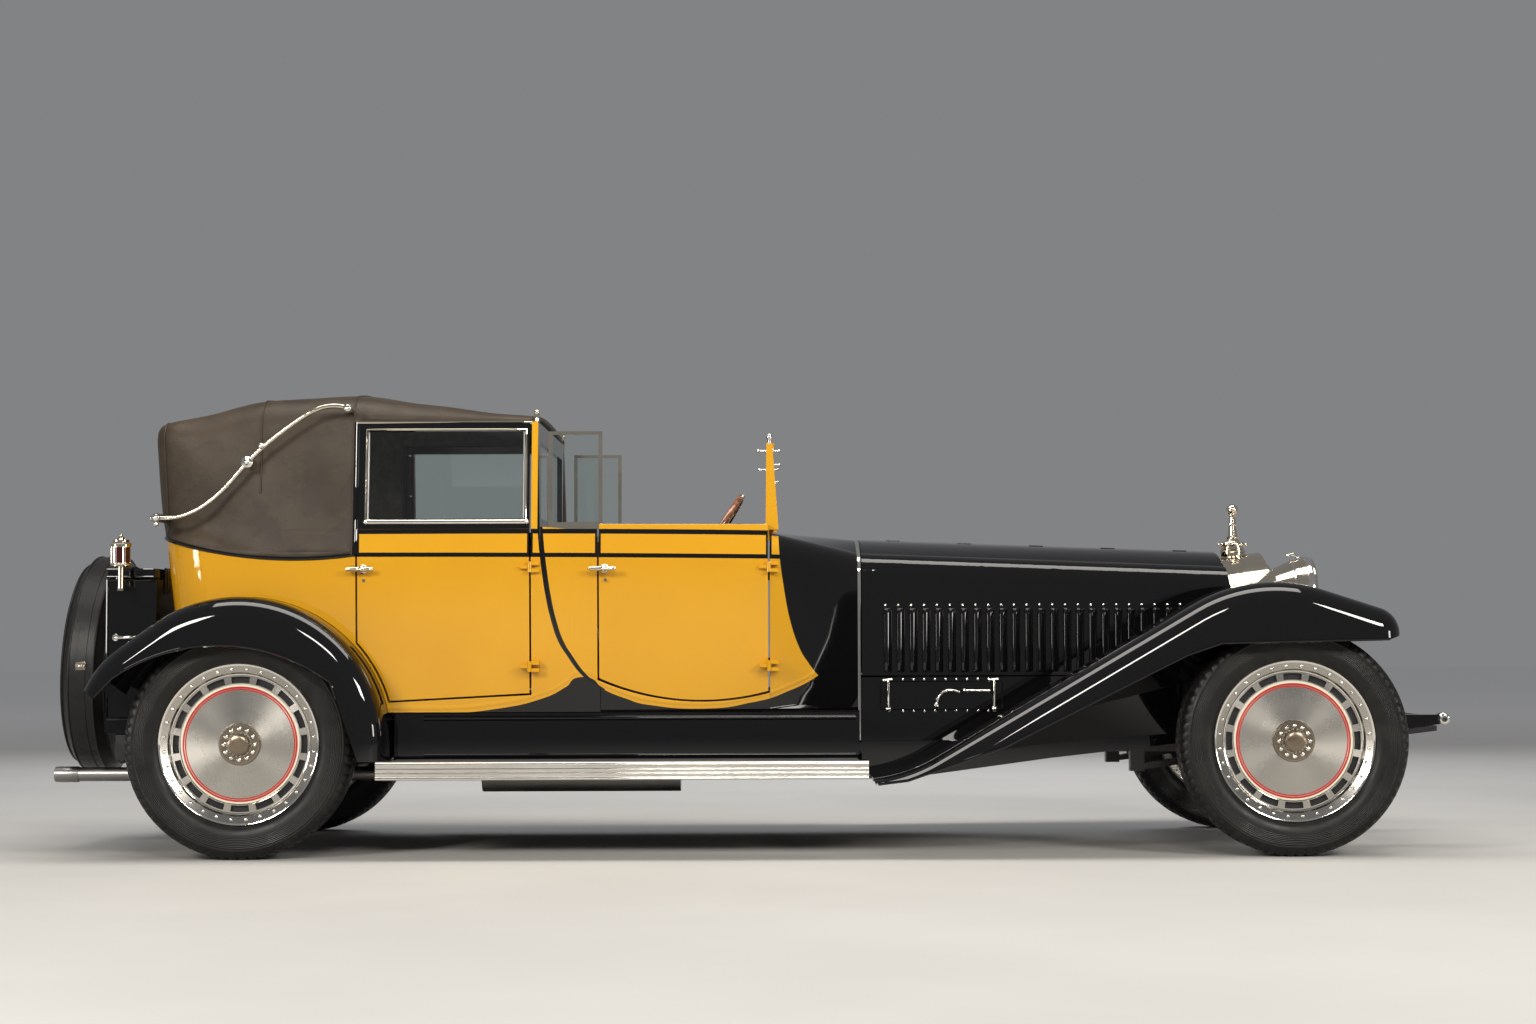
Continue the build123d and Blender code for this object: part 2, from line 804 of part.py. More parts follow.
shell = section_solid(radiator_steps(0.0), radiator_rear_x, radiator_rear_x + radiator_depth)
shell_front_x = radiator_rear_x + radiator_depth
shell = shell - section_solid(radiator_steps(radiator_wall), radiator_rear_x + 30.0, shell_front_x + 1.0)
shell = leaned(shell)
core = section_solid(radiator_steps(radiator_wall + 0.5), radiator_rear_x + 30.0, shell_front_x - 30.0)
core = leaned(core)
cap_x = radiator_rear_x + 79.0
cap_top_z = radiator_top_z + cap_height
cap = fused(
    upright(cap_x, 0, radiator_top_z - 20.0, cap_top_z, cap_radius),
    upright(cap_x, 0, cap_top_z, cap_top_z + 12.0, cap_radius * 1.2),
    Solid.make_cone(finial_ball, 10.0, finial_top_z - cap_top_z - 30.0, Plane((cap_x, 0, cap_top_z))),
    Pos(cap_x, 0, finial_top_z - finial_ball) * Sphere(finial_ball),
)
save("radiator_shell", shell)
save("radiator_core", core)
save("radiator_cap", cap - shell)

# Chassis rails: outline in side view, from the front horn back along the top
rail_outline = [
    (horn_tip_x - horn_eye_radius, horn_tip_z + 17.0),
    (horn_start_x, horn_start_z),
    (rail_knee_x, rail_knee_z),
    (rail_step_x, rail_top),
    (-1250.0, rail_top),
    (-1650.0, rail_arch_z),
    (-2300.0, rail_arch_z),
    (trunk_front_x + 10.0, trunk_bottom_z),
    (trunk_rear_x - 32.0, trunk_bottom_z),
    (trunk_rear_x - 32.0, 500.0),
    (-2420.0, 490.0),
    (-2250.0, 560.0),
    (-1750.0, 560.0),
    (-1600.0, 520.0),
    (-1250.0, rail_deep_bottom),
    (front_axle_x - 1561.0, rail_deep_bottom),
    (front_axle_x - 944.0, 383.0),
    (rail_knee_x, rail_knee_z - 60.0),
    (horn_start_x, horn_start_z - 60.0),
    (horn_tip_x - horn_eye_radius, horn_tip_z - 20.0),
]
horn_eye_x = horn_tip_x - horn_eye_radius
horn_eye = across(horn_eye_x, rail_inner_y, rail_outer_y, horn_tip_z, horn_eye_radius)
horn_bore = across(horn_eye_x, rail_inner_y - 1, rail_outer_y + 1, horn_tip_z, horn_bore_radius)
rail = side_solid(rail_outline, rail_inner_y, rail_outer_y).fuse(horn_eye) - horn_bore
save("chassis_rails", pair(rail))

# Cross members: x, z
cross_table = (
    (front_axle_x + 630.0, 530.0),
    (radiator_rear_x + 162.0, 528.0),
    (front_axle_x - 280.0, 470.0),
    (cowl_front_x + 171.0, 370.0),
    (-150.0, 392.0),
    (-1200.0, 392.0),
    (-2350.0, 600.0),
    (-2630.0, 530.0),
)
cross_members = [across(x, -rail_inner_y, rail_inner_y, z, cross_tube_radius) for x, z in cross_table]
carrier_x = spare_centre_x + 90.0
carrier_foot_x, carrier_foot_z = cross_table[-1]
carrier = fused(
    cross_members[-1],
    rod((carrier_foot_x, 0, carrier_foot_z), (carrier_x, 0, carrier_foot_z), 16.0),
    rod((carrier_x, 0, carrier_foot_z - 16.0), (carrier_x, 0, spare_centre_z + 30.0), 16.0),
    rod((carrier_x, 0, spare_centre_z), (carrier_x - 22.0, 0, spare_centre_z), 40.0),
)
cross_solids = [*cross_members[:-1], *carrier.solids()]
cross_solids = [(solid - shell).solids()[0] for solid in cross_solids]
save("cross_members", Compound(cross_solids))

engine_y = engine_half_width
engine = block(engine_rear_x, engine_front_x, -engine_y, engine_y, engine_bottom_z, engine_top_z)
save("engine_block", engine)

# Axles, knuckles, wheels and tyres


def at_wheel(shape, x):
    """Move a piece drawn about the Y axis to a left wheel."""
    return Pos(x, 0, tyre_radius) * shape


def backing_and_spindle(inner_y):
    """Brake backing plate and the spindle that carries the hub, drawn about the Y axis."""
    return fused(
        across(0, plate_outer_y - plate_thickness, plate_outer_y, 0, drum_radius),
        across(0, inner_y, spindle_tip_y, 0, spindle_radius),
        across(0, inner_y, plate_outer_y, 0, spindle_radius + 22.0),
    )


rear_end = at_wheel(backing_and_spindle(rail_mid_y), rear_axle_x)
rear_axle = fused(
    across(rear_axle_x, -plate_outer_y + 10.0, plate_outer_y - 10.0, tyre_radius, rear_tube_radius),
    Pos(rear_axle_x, 0, tyre_radius) * Sphere(differential_radius),
    rear_end,
    other_side(rear_end),
)
save("rear_axle", rear_axle)

eye_low = tyre_radius - eye_half_height
eye_high = tyre_radius + eye_half_height
beam_bottom = axle_beam_top - axle_beam_depth
beam_steps = [
    (kingpin_y, eye_low + 4.0),
    (kingpin_y - 60.0, eye_low + 4.0),
    (spring_width + 420.0, beam_bottom),
    (-spring_width - 420.0, beam_bottom),
    (-kingpin_y + 60.0, eye_low + 4.0),
    (-kingpin_y, eye_low + 4.0),
    (-kingpin_y, eye_high - 4.0),
    (-kingpin_y + 40.0, eye_high - 4.0),
    (-spring_width - 400.0, axle_beam_top),
    (spring_width + 400.0, axle_beam_top),
    (kingpin_y - 40.0, eye_high - 4.0),
    (kingpin_y, eye_high - 4.0),
]
beam = section_solid(beam_steps, front_axle_x - axle_beam_width / 2, front_axle_x + axle_beam_width / 2)
beam_eye = upright(front_axle_x, kingpin_y, eye_low, eye_high, eye_radius)
pin_bore = upright(front_axle_x, kingpin_y, eye_low - 1, eye_high + 1, kingpin_radius + running_clearance)
front_axle = beam.fuse(beam_eye, other_side(beam_eye)) - pin_bore - other_side(pin_bore)
save("front_axle", front_axle)

ear_web_inner = kingpin_y + eye_radius + ear_gap
ear_outer = plate_outer_y - 2.0


def ear(z0, z1):
    """One fork ear of the knuckle, round about the kingpin."""
    return fused(
        upright(front_axle_x, kingpin_y, z0, z1, eye_radius - 6.0),
        block(front_axle_x - 28.0, front_axle_x + 28.0, kingpin_y, ear_outer, z0, z1),
    )


ear_high = eye_high + ear_gap
ear_low = eye_low - ear_gap
fork_high = ear_high + ear_thickness
fork_low = ear_low - ear_thickness
arm_x = front_axle_x - steering_arm_length
tie_rod_z = fork_low - 40.0
knuckle = fused(
    at_wheel(backing_and_spindle(ear_web_inner), front_axle_x),
    ear(ear_high, fork_high),
    ear(fork_low, ear_low),
    block(front_axle_x - 28.0, front_axle_x + 28.0, ear_web_inner, ear_outer, fork_low, fork_high),
    upright(front_axle_x, kingpin_y, fork_low, fork_high, kingpin_radius),
    block(arm_x, front_axle_x, kingpin_y - 14.0, kingpin_y + 14.0, fork_low, ear_low - 8.0),
    upright(arm_x, kingpin_y, fork_low, ear_low - 8.0, 18.0),
    upright(arm_x, kingpin_y, tie_rod_z - 16.0, ear_low - 8.0, tie_pin_radius),
)
save("knuckle_left", knuckle)
save("knuckle_right", other_side(knuckle))

tie_eye_top = fork_low - 1.0
tie_rod = fused(
    across(arm_x, -kingpin_y + 10.0, kingpin_y - 10.0, tie_rod_z, tie_rod_radius),
    upright(arm_x, kingpin_y, tie_rod_z - 14.0, tie_eye_top, 17.0),
    upright(arm_x, -kingpin_y, tie_rod_z - 14.0, tie_eye_top, 17.0),
)
tie_bore = upright(arm_x, kingpin_y, tie_rod_z - 40.0, tie_rod_z + 60.0, tie_pin_radius + running_clearance)
tie_rod = tie_rod - tie_bore - other_side(tie_bore)
save("tie_rod", tie_rod)

rim_half = rim_width / 2
disc_back = disc_face - disc_thickness
hub_inner = -drum_depth + 20.0
cap_inner = spindle_reach + end_gap
wheel_profile = [
    (spindle_radius + running_clearance, hub_inner),
    (hub_radius - 14.0, hub_inner),
    (hub_radius - 14.0, -40.0),
    (drum_radius - 10.0, -40.0),
    (drum_radius - 10.0, -drum_depth),
    (drum_radius, -drum_depth),
    (drum_radius, -28.0),
    (hub_radius, -28.0),
    (hub_radius, disc_back),
    (disc_radius, disc_back),
    (bead_radius - 12.0, disc_back),
    (bead_radius - 12.0, -rim_half + 8.0),
    (rim_radius - 8.0, -rim_half),
    (rim_radius, -rim_half),
    (rim_radius, -rim_half + 8.0),
    (bead_radius, -rim_half + 14.0),
    (bead_radius, rim_half - 14.0),
    (rim_radius, rim_half - 8.0),
    (rim_radius, rim_half),
    (rim_radius - 8.0, rim_half),
    (bead_radius - 12.0, rim_half - 18.0),
    (disc_radius, disc_face),
    (hub_radius, disc_face + 6.0),
    (hub_radius, disc_face + 20.0),
    (hub_nut_radius, disc_face + 22.0),
    (hub_nut_radius, disc_face + 22.0 + hub_nut_length),
    (0.0, disc_face + 22.0 + hub_nut_length),
    (0.0, cap_inner),
    (spindle_radius + running_clearance, cap_inner),
]
wheel_blank = Pos(0, wheel_y, 0) * turned(wheel_profile)
slot_step = 360.0 / slot_count
slot_half = slot_step * slot_share / 2


def wheel_slot(angle):
    """One slot through the wheel disc, between two radii."""
    points = []
    corners = (
        (slot_inner_radius, -1),
        (slot_outer_radius, -1),
        (slot_outer_radius, 0),
        (slot_outer_radius, 1),
        (slot_inner_radius, 1),
        (slot_inner_radius, 0),
    )
    for radius, turn in corners:
        way = math.radians(angle + turn * slot_half)
        points.append((radius * math.sin(way), radius * math.cos(way)))
    a, b, top, c, d, low = points
    steps = [a, b, (top, c), d, (low, a)]
    return side_solid(steps, wheel_y + disc_back - 2.0, wheel_y + disc_face + 20.0)


slots = [wheel_slot(slot_step * k) for k in range(slot_count)]
wheel = wheel_blank.cut(*slots)

# Tyre section from bead to bead: radius, y
tread_half = tread_width / 2
tyre_half = tyre_width / 2
tyre_profile = [
    (bead_radius + 0.5, rim_half - 16.0),
    (rim_radius - 4.0, rim_half - 10.5),
    (rim_radius + 0.5, rim_half - 9.5),
    (rim_radius + 6.0, rim_half + 2.0),
    (rim_radius + 45.0, tyre_half),
    (tyre_radius - 45.0, tyre_half),
    (tyre_radius - 14.0, tread_half + 8.0),
    (tyre_radius, tread_half - 14.0),
    (tyre_radius, -tread_half + 14.0),
    (tyre_radius - 14.0, -tread_half - 8.0),
    (tyre_radius - 45.0, -tyre_half),
    (rim_radius + 45.0, -tyre_half),
    (rim_radius + 6.0, -rim_half - 2.0),
    (rim_radius + 0.5, -rim_half + 9.5),
    (rim_radius - 4.0, -rim_half + 10.5),
    (bead_radius + 0.5, -rim_half + 16.0),
]
tyre = Pos(0, wheel_y, 0) * turned(tyre_profile)

for end, x in (("front", front_axle_x), ("rear", rear_axle_x)):
    save("wheel_" + end + "_left", at_wheel(wheel, x))
    save("wheel_" + end + "_right", other_side(at_wheel(wheel, x)))
    save("tyre_" + end + "_left", at_wheel(tyre, x))
    save("tyre_" + end + "_right", other_side(at_wheel(tyre, x)))

# Spare wheel in its cover, leaning forward on the carrier
spare_profile = [
    (0.0, -70.0),
    (300.0, -70.0),
    (330.0, -90.0),
    (tyre_radius - 40.0, -90.0),
    (tyre_radius, -50.0),
    (tyre_radius, 50.0),
    (tyre_radius - 40.0, 90.0),
    (330.0, 90.0),
    (300.0, 60.0),
    (0.0, 60.0),
]
spare = turned(spare_profile).rotate(Axis.Z, 90).rotate(Axis.Y, spare_tilt)
spare = Pos(spare_centre_x, 0, spare_centre_z) * spare
save("spare_wheel", spare - carrier)

# Leaf springs: front end, x of the middle, rear end, each end as x, low z, high z
spring_table = (
    (
        (front_axle_x + 690.0, 492.0, 514.0),
        (front_axle_x, axle_beam_top + 10.0, axle_beam_top + 46.0),
        (front_axle_x - 580.0, 330.0, 352.0),
    ),
    (
        (rear_axle_x + 560.0, 378.0, 398.0),
        (rear_axle_x, 352.0, 396.0),
        (rear_axle_x - 590.0, 392.0, 412.0),
    ),
)


def spring(front, middle, rear):
    """One bowed spring, drawn as the outline of its leaves."""
    low = [(x, low_z) for x, low_z, _ in (front, middle, rear)]
    high = [(x, high_z) for x, _, high_z in (front, middle, rear)]
    outline = [low[0], (low[1], low[2]), high[2], (high[1], high[0])]
    return side_solid(outline, rail_mid_y - spring_width / 2, rail_mid_y + spring_width / 2)


def under_rail(x0, x1, z0, z1):
    """Pad or hanger as wide as the spring and centred below the rail."""
    return block(x0, x1, rail_mid_y - spring_width / 2, rail_mid_y + spring_width / 2, z0, z1)


front_pad = under_rail(front_axle_x - 45.0, front_axle_x + 45.0, axle_beam_top, axle_beam_top + 20.0)
front_hanger = under_rail(front_axle_x - 610.0, front_axle_x - 550.0, 326.0, 430.0)
front_spring = spring(*spring_table[0]).fuse(front_hanger, front_pad)
rear_pad = under_rail(rear_axle_x - 60.0, rear_axle_x + 60.0, 390.0, 420.0)
rear_hanger = under_rail(rear_axle_x - 610.0, rear_axle_x - 570.0, 388.0, 493.0)
rear_spring = spring(*spring_table[1]).fuse(rear_pad, rear_hanger) - rear_axle
save("leaf_springs", pair(Compound([*(front_spring - rail).solids(), *(rear_spring - rail).solids()])))

# Exhaust
exhaust = fused(
    rod((760.0, exhaust_y, exhaust_z), (exhaust_tip_x, exhaust_y, exhaust_z), exhaust_radius),
    rod((-250.0, exhaust_y, exhaust_z), (-1100.0, exhaust_y, exhaust_z), silencer_radius),
    upright(760.0, exhaust_y, exhaust_z, 600.0, exhaust_radius),
)
save("exhaust", exhaust - Compound(cross_members) - engine)

# Fenders


def tangent_path(start, heading, steps, offset):
    """Edges along smooth runs and arcs in side view, kept parallel to the path at an offset to its right.

    Each step is (length, 0) for a run or (radius, turn) for an arc; a positive turn is to the left.
    """
    way = math.radians(heading)
    x = start[0] + offset * math.sin(way)
    z = start[1] - offset * math.cos(way)
    steps_out = [(x, z)]
    for size, turn in steps:
        if turn == 0:
            x = x + size * math.cos(way)
            z = z + size * math.sin(way)
            steps_out.append((x, z))
            continue
        side = 1 if turn > 0 else -1
        radius = size + side * offset
        cx = x - side * radius * math.sin(way)
        cz = z + side * radius * math.cos(way)
        half = way + math.radians(turn) / 2
        way = way + math.radians(turn)
        via = (cx + side * radius * math.sin(half), cz - side * radius * math.cos(half))
        x = cx + side * radius * math.sin(way)
        z = cz - side * radius * math.cos(way)
        steps_out.append((via, (x, z)))
    return steps_out


front_crest = (
    (board_front_x + 14.0, 325.0),
    6.0,
    ((650.0, 24.3), (1219.0, 0), (657.0, -48.3), (240.0, 0), (110.0, -72.0)),
)
rear_crest = (
    (rear_axle_x + arch_radius, arch_centre_z - 70.0),
    90.0,
    ((70.0, 0), (arch_radius, 125.0), (170.0, 0), (420.0, 30.0)),
)
front_lip = [
    (front_axle_x + 370.0, 880.0),
    (front_axle_x - 310.0, 866.0),
    (front_axle_x - 451.0, 818.0),
    (front_axle_x - 1190.0, 451.0),
    (front_axle_x - 1581.0, 316.0),
    (front_axle_x - 1710.0, 300.0),
]
rear_lip = [
    (rear_axle_x - 570.0, 660.0),
    (rear_axle_x - 490.0, 740.0),
    ((rear_axle_x, 868.0), (rear_axle_x + 390.0, 720.0)),
    (rear_axle_x + 500.0, 400.0),
]


def end_of(step):
    """End point of a loop step."""
    return step[1] if isinstance(step[0], tuple) else step


def crowned(shape, path, y, radius):
    """Round the long edge of a shape that follows a path at one y."""
    middles = []
    for before, step in zip(path, path[1:]):
        if isinstance(step[0], tuple):
            middles.append(Vector(step[0][0], y, step[0][1]))
        else:
            x0, z0 = end_of(before)
            middles.append(Vector((x0 + step[0]) / 2, y, (z0 + step[1]) / 2))
    edges = [edge for edge in shape.edges() if any(((edge @ 0.5) - m).length < 1.0 for m in middles)]
    return shape.fillet(radius, edges)


def fender(crest, lip, offset_side, inner_y):
    """Left fender: crowned top sheet, outer skirt down to the lip and a short inner flange."""
    long_crest = stretched(*crest, 400.0)
    outer_steps = tangent_path(*long_crest, 0.0)
    inner_steps = tangent_path(*long_crest, offset_side * fender_sheet)
    flange_steps = tangent_path(*long_crest, offset_side * fender_flange)
    outer = under_path(outer_steps, inner_y, fender_outer_y)
    outer = crowned(outer, outer_steps, fender_outer_y, fender_crown)
    skin_y = fender_outer_y - fender_sheet
    hollow = under_path(inner_steps, inner_y + fender_sheet, skin_y)
    hollow = crowned(hollow, inner_steps, skin_y, fender_crown - fender_sheet)
    inside = under_path(flange_steps, inner_y - 1.0, inner_y + fender_sheet + 1.0)
    above_lip = side_solid(tangent_path(*crest, -20.0 * offset_side) + lip, 0, big)
    return (outer - hollow - inside) & above_lip


def stretched(start, heading, steps, reach):
    """The same path with a straight run added at both ends."""
    way = math.radians(heading)
    start = (start[0] - reach * math.cos(way), start[1] - reach * math.sin(way))
    return start, heading, ((reach, 0), *steps, (reach, 0))


def under_path(steps, y0, y1):
    """All that lies below a side view path."""
    below = [(end_of(steps[-1])[0], -big), (steps[0][0], -big)]
    return side_solid(steps + below, y0, y1)


front_fender = fender(front_crest, front_lip, 1, front_fender_inner_y)
rear_fender = fender(rear_crest, rear_lip, -1, rear_fender_inner_y)

# Inner valance of the front fender: x ahead of the axle, top z, knee y, knee z, foot z
valance_table = (
    (290.0, 1000.0, 520.0, 760.0, 532.0),
    (-82.0, 1104.0, 500.0, 740.0, 508.0),
    (-410.0, 1012.0, 500.0, 700.0, 490.0),
    (-985.0, 676.0, 500.0, 560.0, 445.0),
    (-1465.0, 400.0, 500.0, 390.0, 380.0),
)
valance_wires = []
t = fender_sheet
for ahead, tz, ky, kz, fz in valance_table:
    ty = front_fender_inner_y + 4.0
    fy = rail_outer_y - 1.0
    steps = [(ty, tz), (ky, kz), (fy, fz), (fy, fz - t), (ky + t, kz - t), (ty, tz - 2 * t)]
    valance_wires.append(section_face(steps, front_axle_x + ahead).outer_wire())
valance = Solid.make_loft(valance_wires, ruled=True)
front_fender = front_fender.fuse(valance)
save("front_fenders", pair(front_fender - rail))
save("rear_fenders", pair(rear_fender))

# Running boards with their aprons and brackets
apron_rear_x = board_rear_x + 40.0
apron_front_x = board_front_x - 32.0
board = fused(
    block(board_rear_x, board_front_x, apron_y, board_outer_y, board_bottom_z, board_top_z),
    block(apron_rear_x, apron_front_x, apron_y, apron_y + apron_sheet, board_top_z, apron_top_z),
    *[
        block(x - 30.0, x + 30.0, rail_outer_y, apron_y, board_bottom_z, board_bottom_z + 36.0)
        for x in (-1100.0, -450.0, 250.0)
    ],
)
board = board - front_fender - rear_fender
save("running_boards", pair(board))

# Floor: wide ahead of the rear fenders, and raised and narrow between them
floor_low_z = floor_top_z - floor_thickness
floor_front_x = cowl_front_x - 20.0
floor_narrow_x = rear_axle_x + arch_radius + 20.0
floor_step_x = rear_axle_x + 560.0
floor_rear_x = body_rear_x + 80.0
rear_floor_steps = [
    (floor_narrow_x, floor_top_z),
    (floor_step_x, floor_top_z),
    (floor_step_x, rear_floor_top_z),
    (floor_rear_x, rear_floor_top_z),
    (floor_rear_x, rear_floor_top_z - floor_thickness),
    (floor_step_x - floor_thickness, rear_floor_top_z - floor_thickness),
    (floor_step_x - floor_thickness, floor_low_z),
    (floor_narrow_x, floor_low_z),
]
narrow_y = rear_fender_inner_y - fit_gap
wide_floor = block(floor_narrow_x, floor_front_x, -body_half_width, body_half_width, floor_low_z, floor_top_z)
floor = (side_solid(rear_floor_steps, -narrow_y, narrow_y) & room).fuse(wide_floor & room)
bearers = [
    block(x - 30.0, x + 30.0, -rail_outer_y, rail_outer_y, rail_top, floor_low_z)
    for x in (300.0, -400.0, -1150.0)
]
rear_floor_low_z = rear_floor_top_z - floor_thickness
rear_bearer = block(-2280.0, -1680.0, rail_inner_y, rail_outer_y, rail_arch_z, rear_floor_low_z)
floor = floor.fuse(*bearers, rear_bearer, other_side(rear_bearer))
save("cabin_floor", floor)

# Partition between the compartments
partition = block(-854.0, -826.0, -big, big, floor_top_z, roof_base_z - fit_gap) & room
pane_half_width = 560.0
pane_low_z = 1400.0
pane_high_z = 1720.0
partition = partition - block(-900.0, -800.0, -pane_half_width, pane_half_width, pane_low_z, pane_high_z)
save("partition", partition)

# Seats
front_seat_outline = [
    (-790.0, 615.0),
    (-260.0, 615.0),
    (-240.0, 930.0),
    (-640.0, 915.0),
    (-730.0, 1320.0),
    (-790.0, 1320.0),
]
rear_seat_outline = [
    (-2300.0, rear_floor_top_z + 1.0),
    (-1690.0, rear_floor_top_z + 1.0),
    (-1660.0, 1000.0),
    (-2090.0, 980.0),
    (-2230.0, 1450.0),
    (-2320.0, 1450.0),
    (-2320.0, 800.0),
]
front_seat_y = body_half_width - seat_side_gap
rear_seat_y = rear_fender_inner_y - seat_fender_gap
front_seat = side_solid(front_seat_outline, -front_seat_y, front_seat_y)
rear_seat = side_solid(rear_seat_outline, -rear_seat_y, rear_seat_y)
save("front_seat", front_seat)
save("rear_seat", rear_seat & body_volume(body_wall + 12.0))

# Dashboard, steering column and steering wheel
cowl_room = cowl_volume(body_wall / 2 + fit_gap, 1.0)
dashboard = block(cowl_rear_x + 20.0, cowl_rear_x + 44.0, -big, big, 1040.0, 1345.0) & cowl_room
column_way = Vector(math.cos(math.radians(column_angle)), 0, -math.sin(math.radians(column_angle)))
wheel_centre = Vector(steer_wheel_x, steer_wheel_y, steer_wheel_z)
column_start = wheel_centre + column_way * 21.0
column_end = wheel_centre + column_way * 690.0
column = rod(tuple(column_start), tuple(column_end), column_radius)
save("dashboard", dashboard - column)
wheel_plane = Plane(origin=wheel_centre, z_dir=column_way)
rim = Solid.make_torus(steer_wheel_radius - steer_rim_radius, steer_rim_radius, wheel_plane)
hub_back = wheel_centre - column_way * 15.0
hub = rod(tuple(hub_back), tuple(hub_back + column_way * 30.0), steer_hub_radius)
spokes = []
sideways = Vector(0, 1, 0)
upwards = column_way.cross(sideways)
for angle in (45.0, 135.0, 225.0, 315.0):
    way = math.radians(angle)
    spoke_way = sideways * math.cos(way) + upwards * math.sin(way)
    far = wheel_centre + spoke_way * (steer_wheel_radius - steer_rim_radius)
    spokes.append(rod(tuple(wheel_centre), tuple(far), steer_spoke_radius))
stub = rod(tuple(wheel_centre), tuple(wheel_centre + column_way * 60.0), steer_stub_radius)
bore_end = wheel_centre + column_way * 64.0
stub_bore = rod(tuple(wheel_centre), tuple(bore_end), steer_stub_radius + running_clearance)
save("steering_wheel", fused(rim, hub, *spokes, stub))
save("steering_column", column - stub_bore)

# Windscreen
post_steps = [
    (screen_x - 27.0, belt_top_z),
    (screen_x - 23.0, screen_top_z),
    (screen_x + 2.0, screen_top_z),
    (screen_x + 27.0, belt_top_z),
]
post = side_solid(post_steps, screen_half_width - 24.0, screen_half_width)
screen_side = screen_half_width - 24.0
screen_low_z = belt_top_z + 10.0


def screen_rail(low_z):
    """Rail of the windscreen between the posts."""
    return block(screen_x - 10.0, screen_x + 10.0, -screen_side, screen_side, low_z, low_z + screen_bar)


top_bar = screen_rail(screen_top_z - screen_bar)
low_bar = screen_rail(screen_low_z)
screen = fused(top_bar, low_bar, post, other_side(post))
screen = screen - cowl
pane = block(
    screen_x - 3.0,
    screen_x + 3.0,
    -screen_side + 0.5,
    screen_side - 0.5,
    screen_low_z + screen_bar + 0.5,
    screen_top_z - screen_bar - 0.5,
)
save("windscreen_frame", screen)

# Quarter lights behind the front doors
light_outer = rectangle(-781.0, -558.0, 1348.0, 1753.0)
light_inner = rectangle(-765.0, -574.0, 1376.0, 1739.0)
light_y = body_half_width - 34.0
light_opening = side_solid(light_inner, light_y - 20.0, light_y + 20.0)
light = side_solid(light_outer, light_y - 14.0, light_y) - light_opening
save("quarter_light_frames", pair(light - front_door_left - front_body))
light_pane = block(-764.5, -574.5, light_y - 10.0, light_y - 4.0, 1376.5, 1738.5)
pane_side = pane_half_width - 0.5
partition_pane = block(-843.0, -837.0, -pane_side, pane_side, pane_low_z + 0.5, pane_high_z - 0.5)
save("fixed_glass", Compound([pane.solid(), partition_pane.solid(), *pair(light_pane).solids()]))

# Landau top
# Bows from tail to front: x, width inside the body's on each side, edge z, corner radius, crown
bow_table = (
    (-2432.0, 150.0, 1760.0, 110.0, 14.0),
    (-2400.0, 140.0, 1800.0, 120.0, 18.0),
    (-2224.0, 16.0, 1840.0, 130.0, 24.0),
    (-2017.0, 14.0, 1890.0, 140.0, 29.0),
    (-1624.0, 12.0, 1915.0, 140.0, 35.0),
    (-1231.0, 12.0, 1868.0, 110.0, 30.0),
    (roof_front_x, 14.0, 1822.0, 60.0, 22.0),
)
bow_base_z = 1200.0


def bow(x, inside, edge_z, corner, crown, inset):
    """One cross section of the leather top."""
    low = body_half_width - inside - inset
    high = low - tumblehome
    r = corner - inset / 2
    nip = r * (1 - math.cos(math.radians(45)))
    top = edge_z - inset
    return section_face(
        [
            (low, bow_base_z),
            (high, top - r),
            ((high - nip, top - nip), (high - r, top)),
            ((0.0, top + crown), (-high + r, top)),
            ((-high + nip, top - nip), (-high, top - r)),
            (-low, bow_base_z),
        ],
        x,
    ).outer_wire()


top_outer = Solid.make_loft([bow(*row, 0.0) for row in bow_table], ruled=True)
inner_moves = {0: leather_thickness, 1: leather_thickness + 6.0, len(bow_table) - 1: 1.0}
inner_rows = [(row[0] + inner_moves.get(k, 0.0), *row[1:]) for k, row in enumerate(bow_table)]
top_inner = Solid.make_loft([bow(*row, leather_thickness) for row in inner_rows], ruled=True)
leather_region = [
    leather_line(0.0)[0],
    leather_line(0.0)[1],
    (body_rear_x - 60.0, loft_high_z),
    (roof_front_x, loft_high_z),
    (roof_front_x, roof_base_z),
    (top_front_x, roof_base_z),
]
landau_top = (top_outer - top_inner) & side_solid(leather_region, -big, big)
save("landau_top", landau_top)

# Landau irons
iron_y = body_half_width + 14.0
iron_points = (
    (-2394.0, 1398.0),
    (-2290.0, 1404.0),
    (-2125.0, 1507.0),
    (-2020.0, 1625.0),
    (-1823.0, 1791.0),
    (-1712.0, 1851.0),
    (-1605.0, 1848.0),
)
iron_path = Edge.make_spline([Vector(x, iron_y, z) for x, z in iron_points])
iron_start = Plane(origin=iron_path @ 0, z_dir=iron_path % 0)
iron = sweep(iron_start * Circle(10.0), path=iron_path)
knob_places = (iron_points[0], iron_points[3], iron_points[-1])
iron_knobs = [across(x, iron_y - 174.0, iron_y + 12.0, z, 18.0) for x, z in knob_places]
iron = fused(iron.solid(), *iron_knobs) - top_outer
iron = max(iron.solids(), key=lambda s: s.volume)
save("landau_irons", pair(iron))

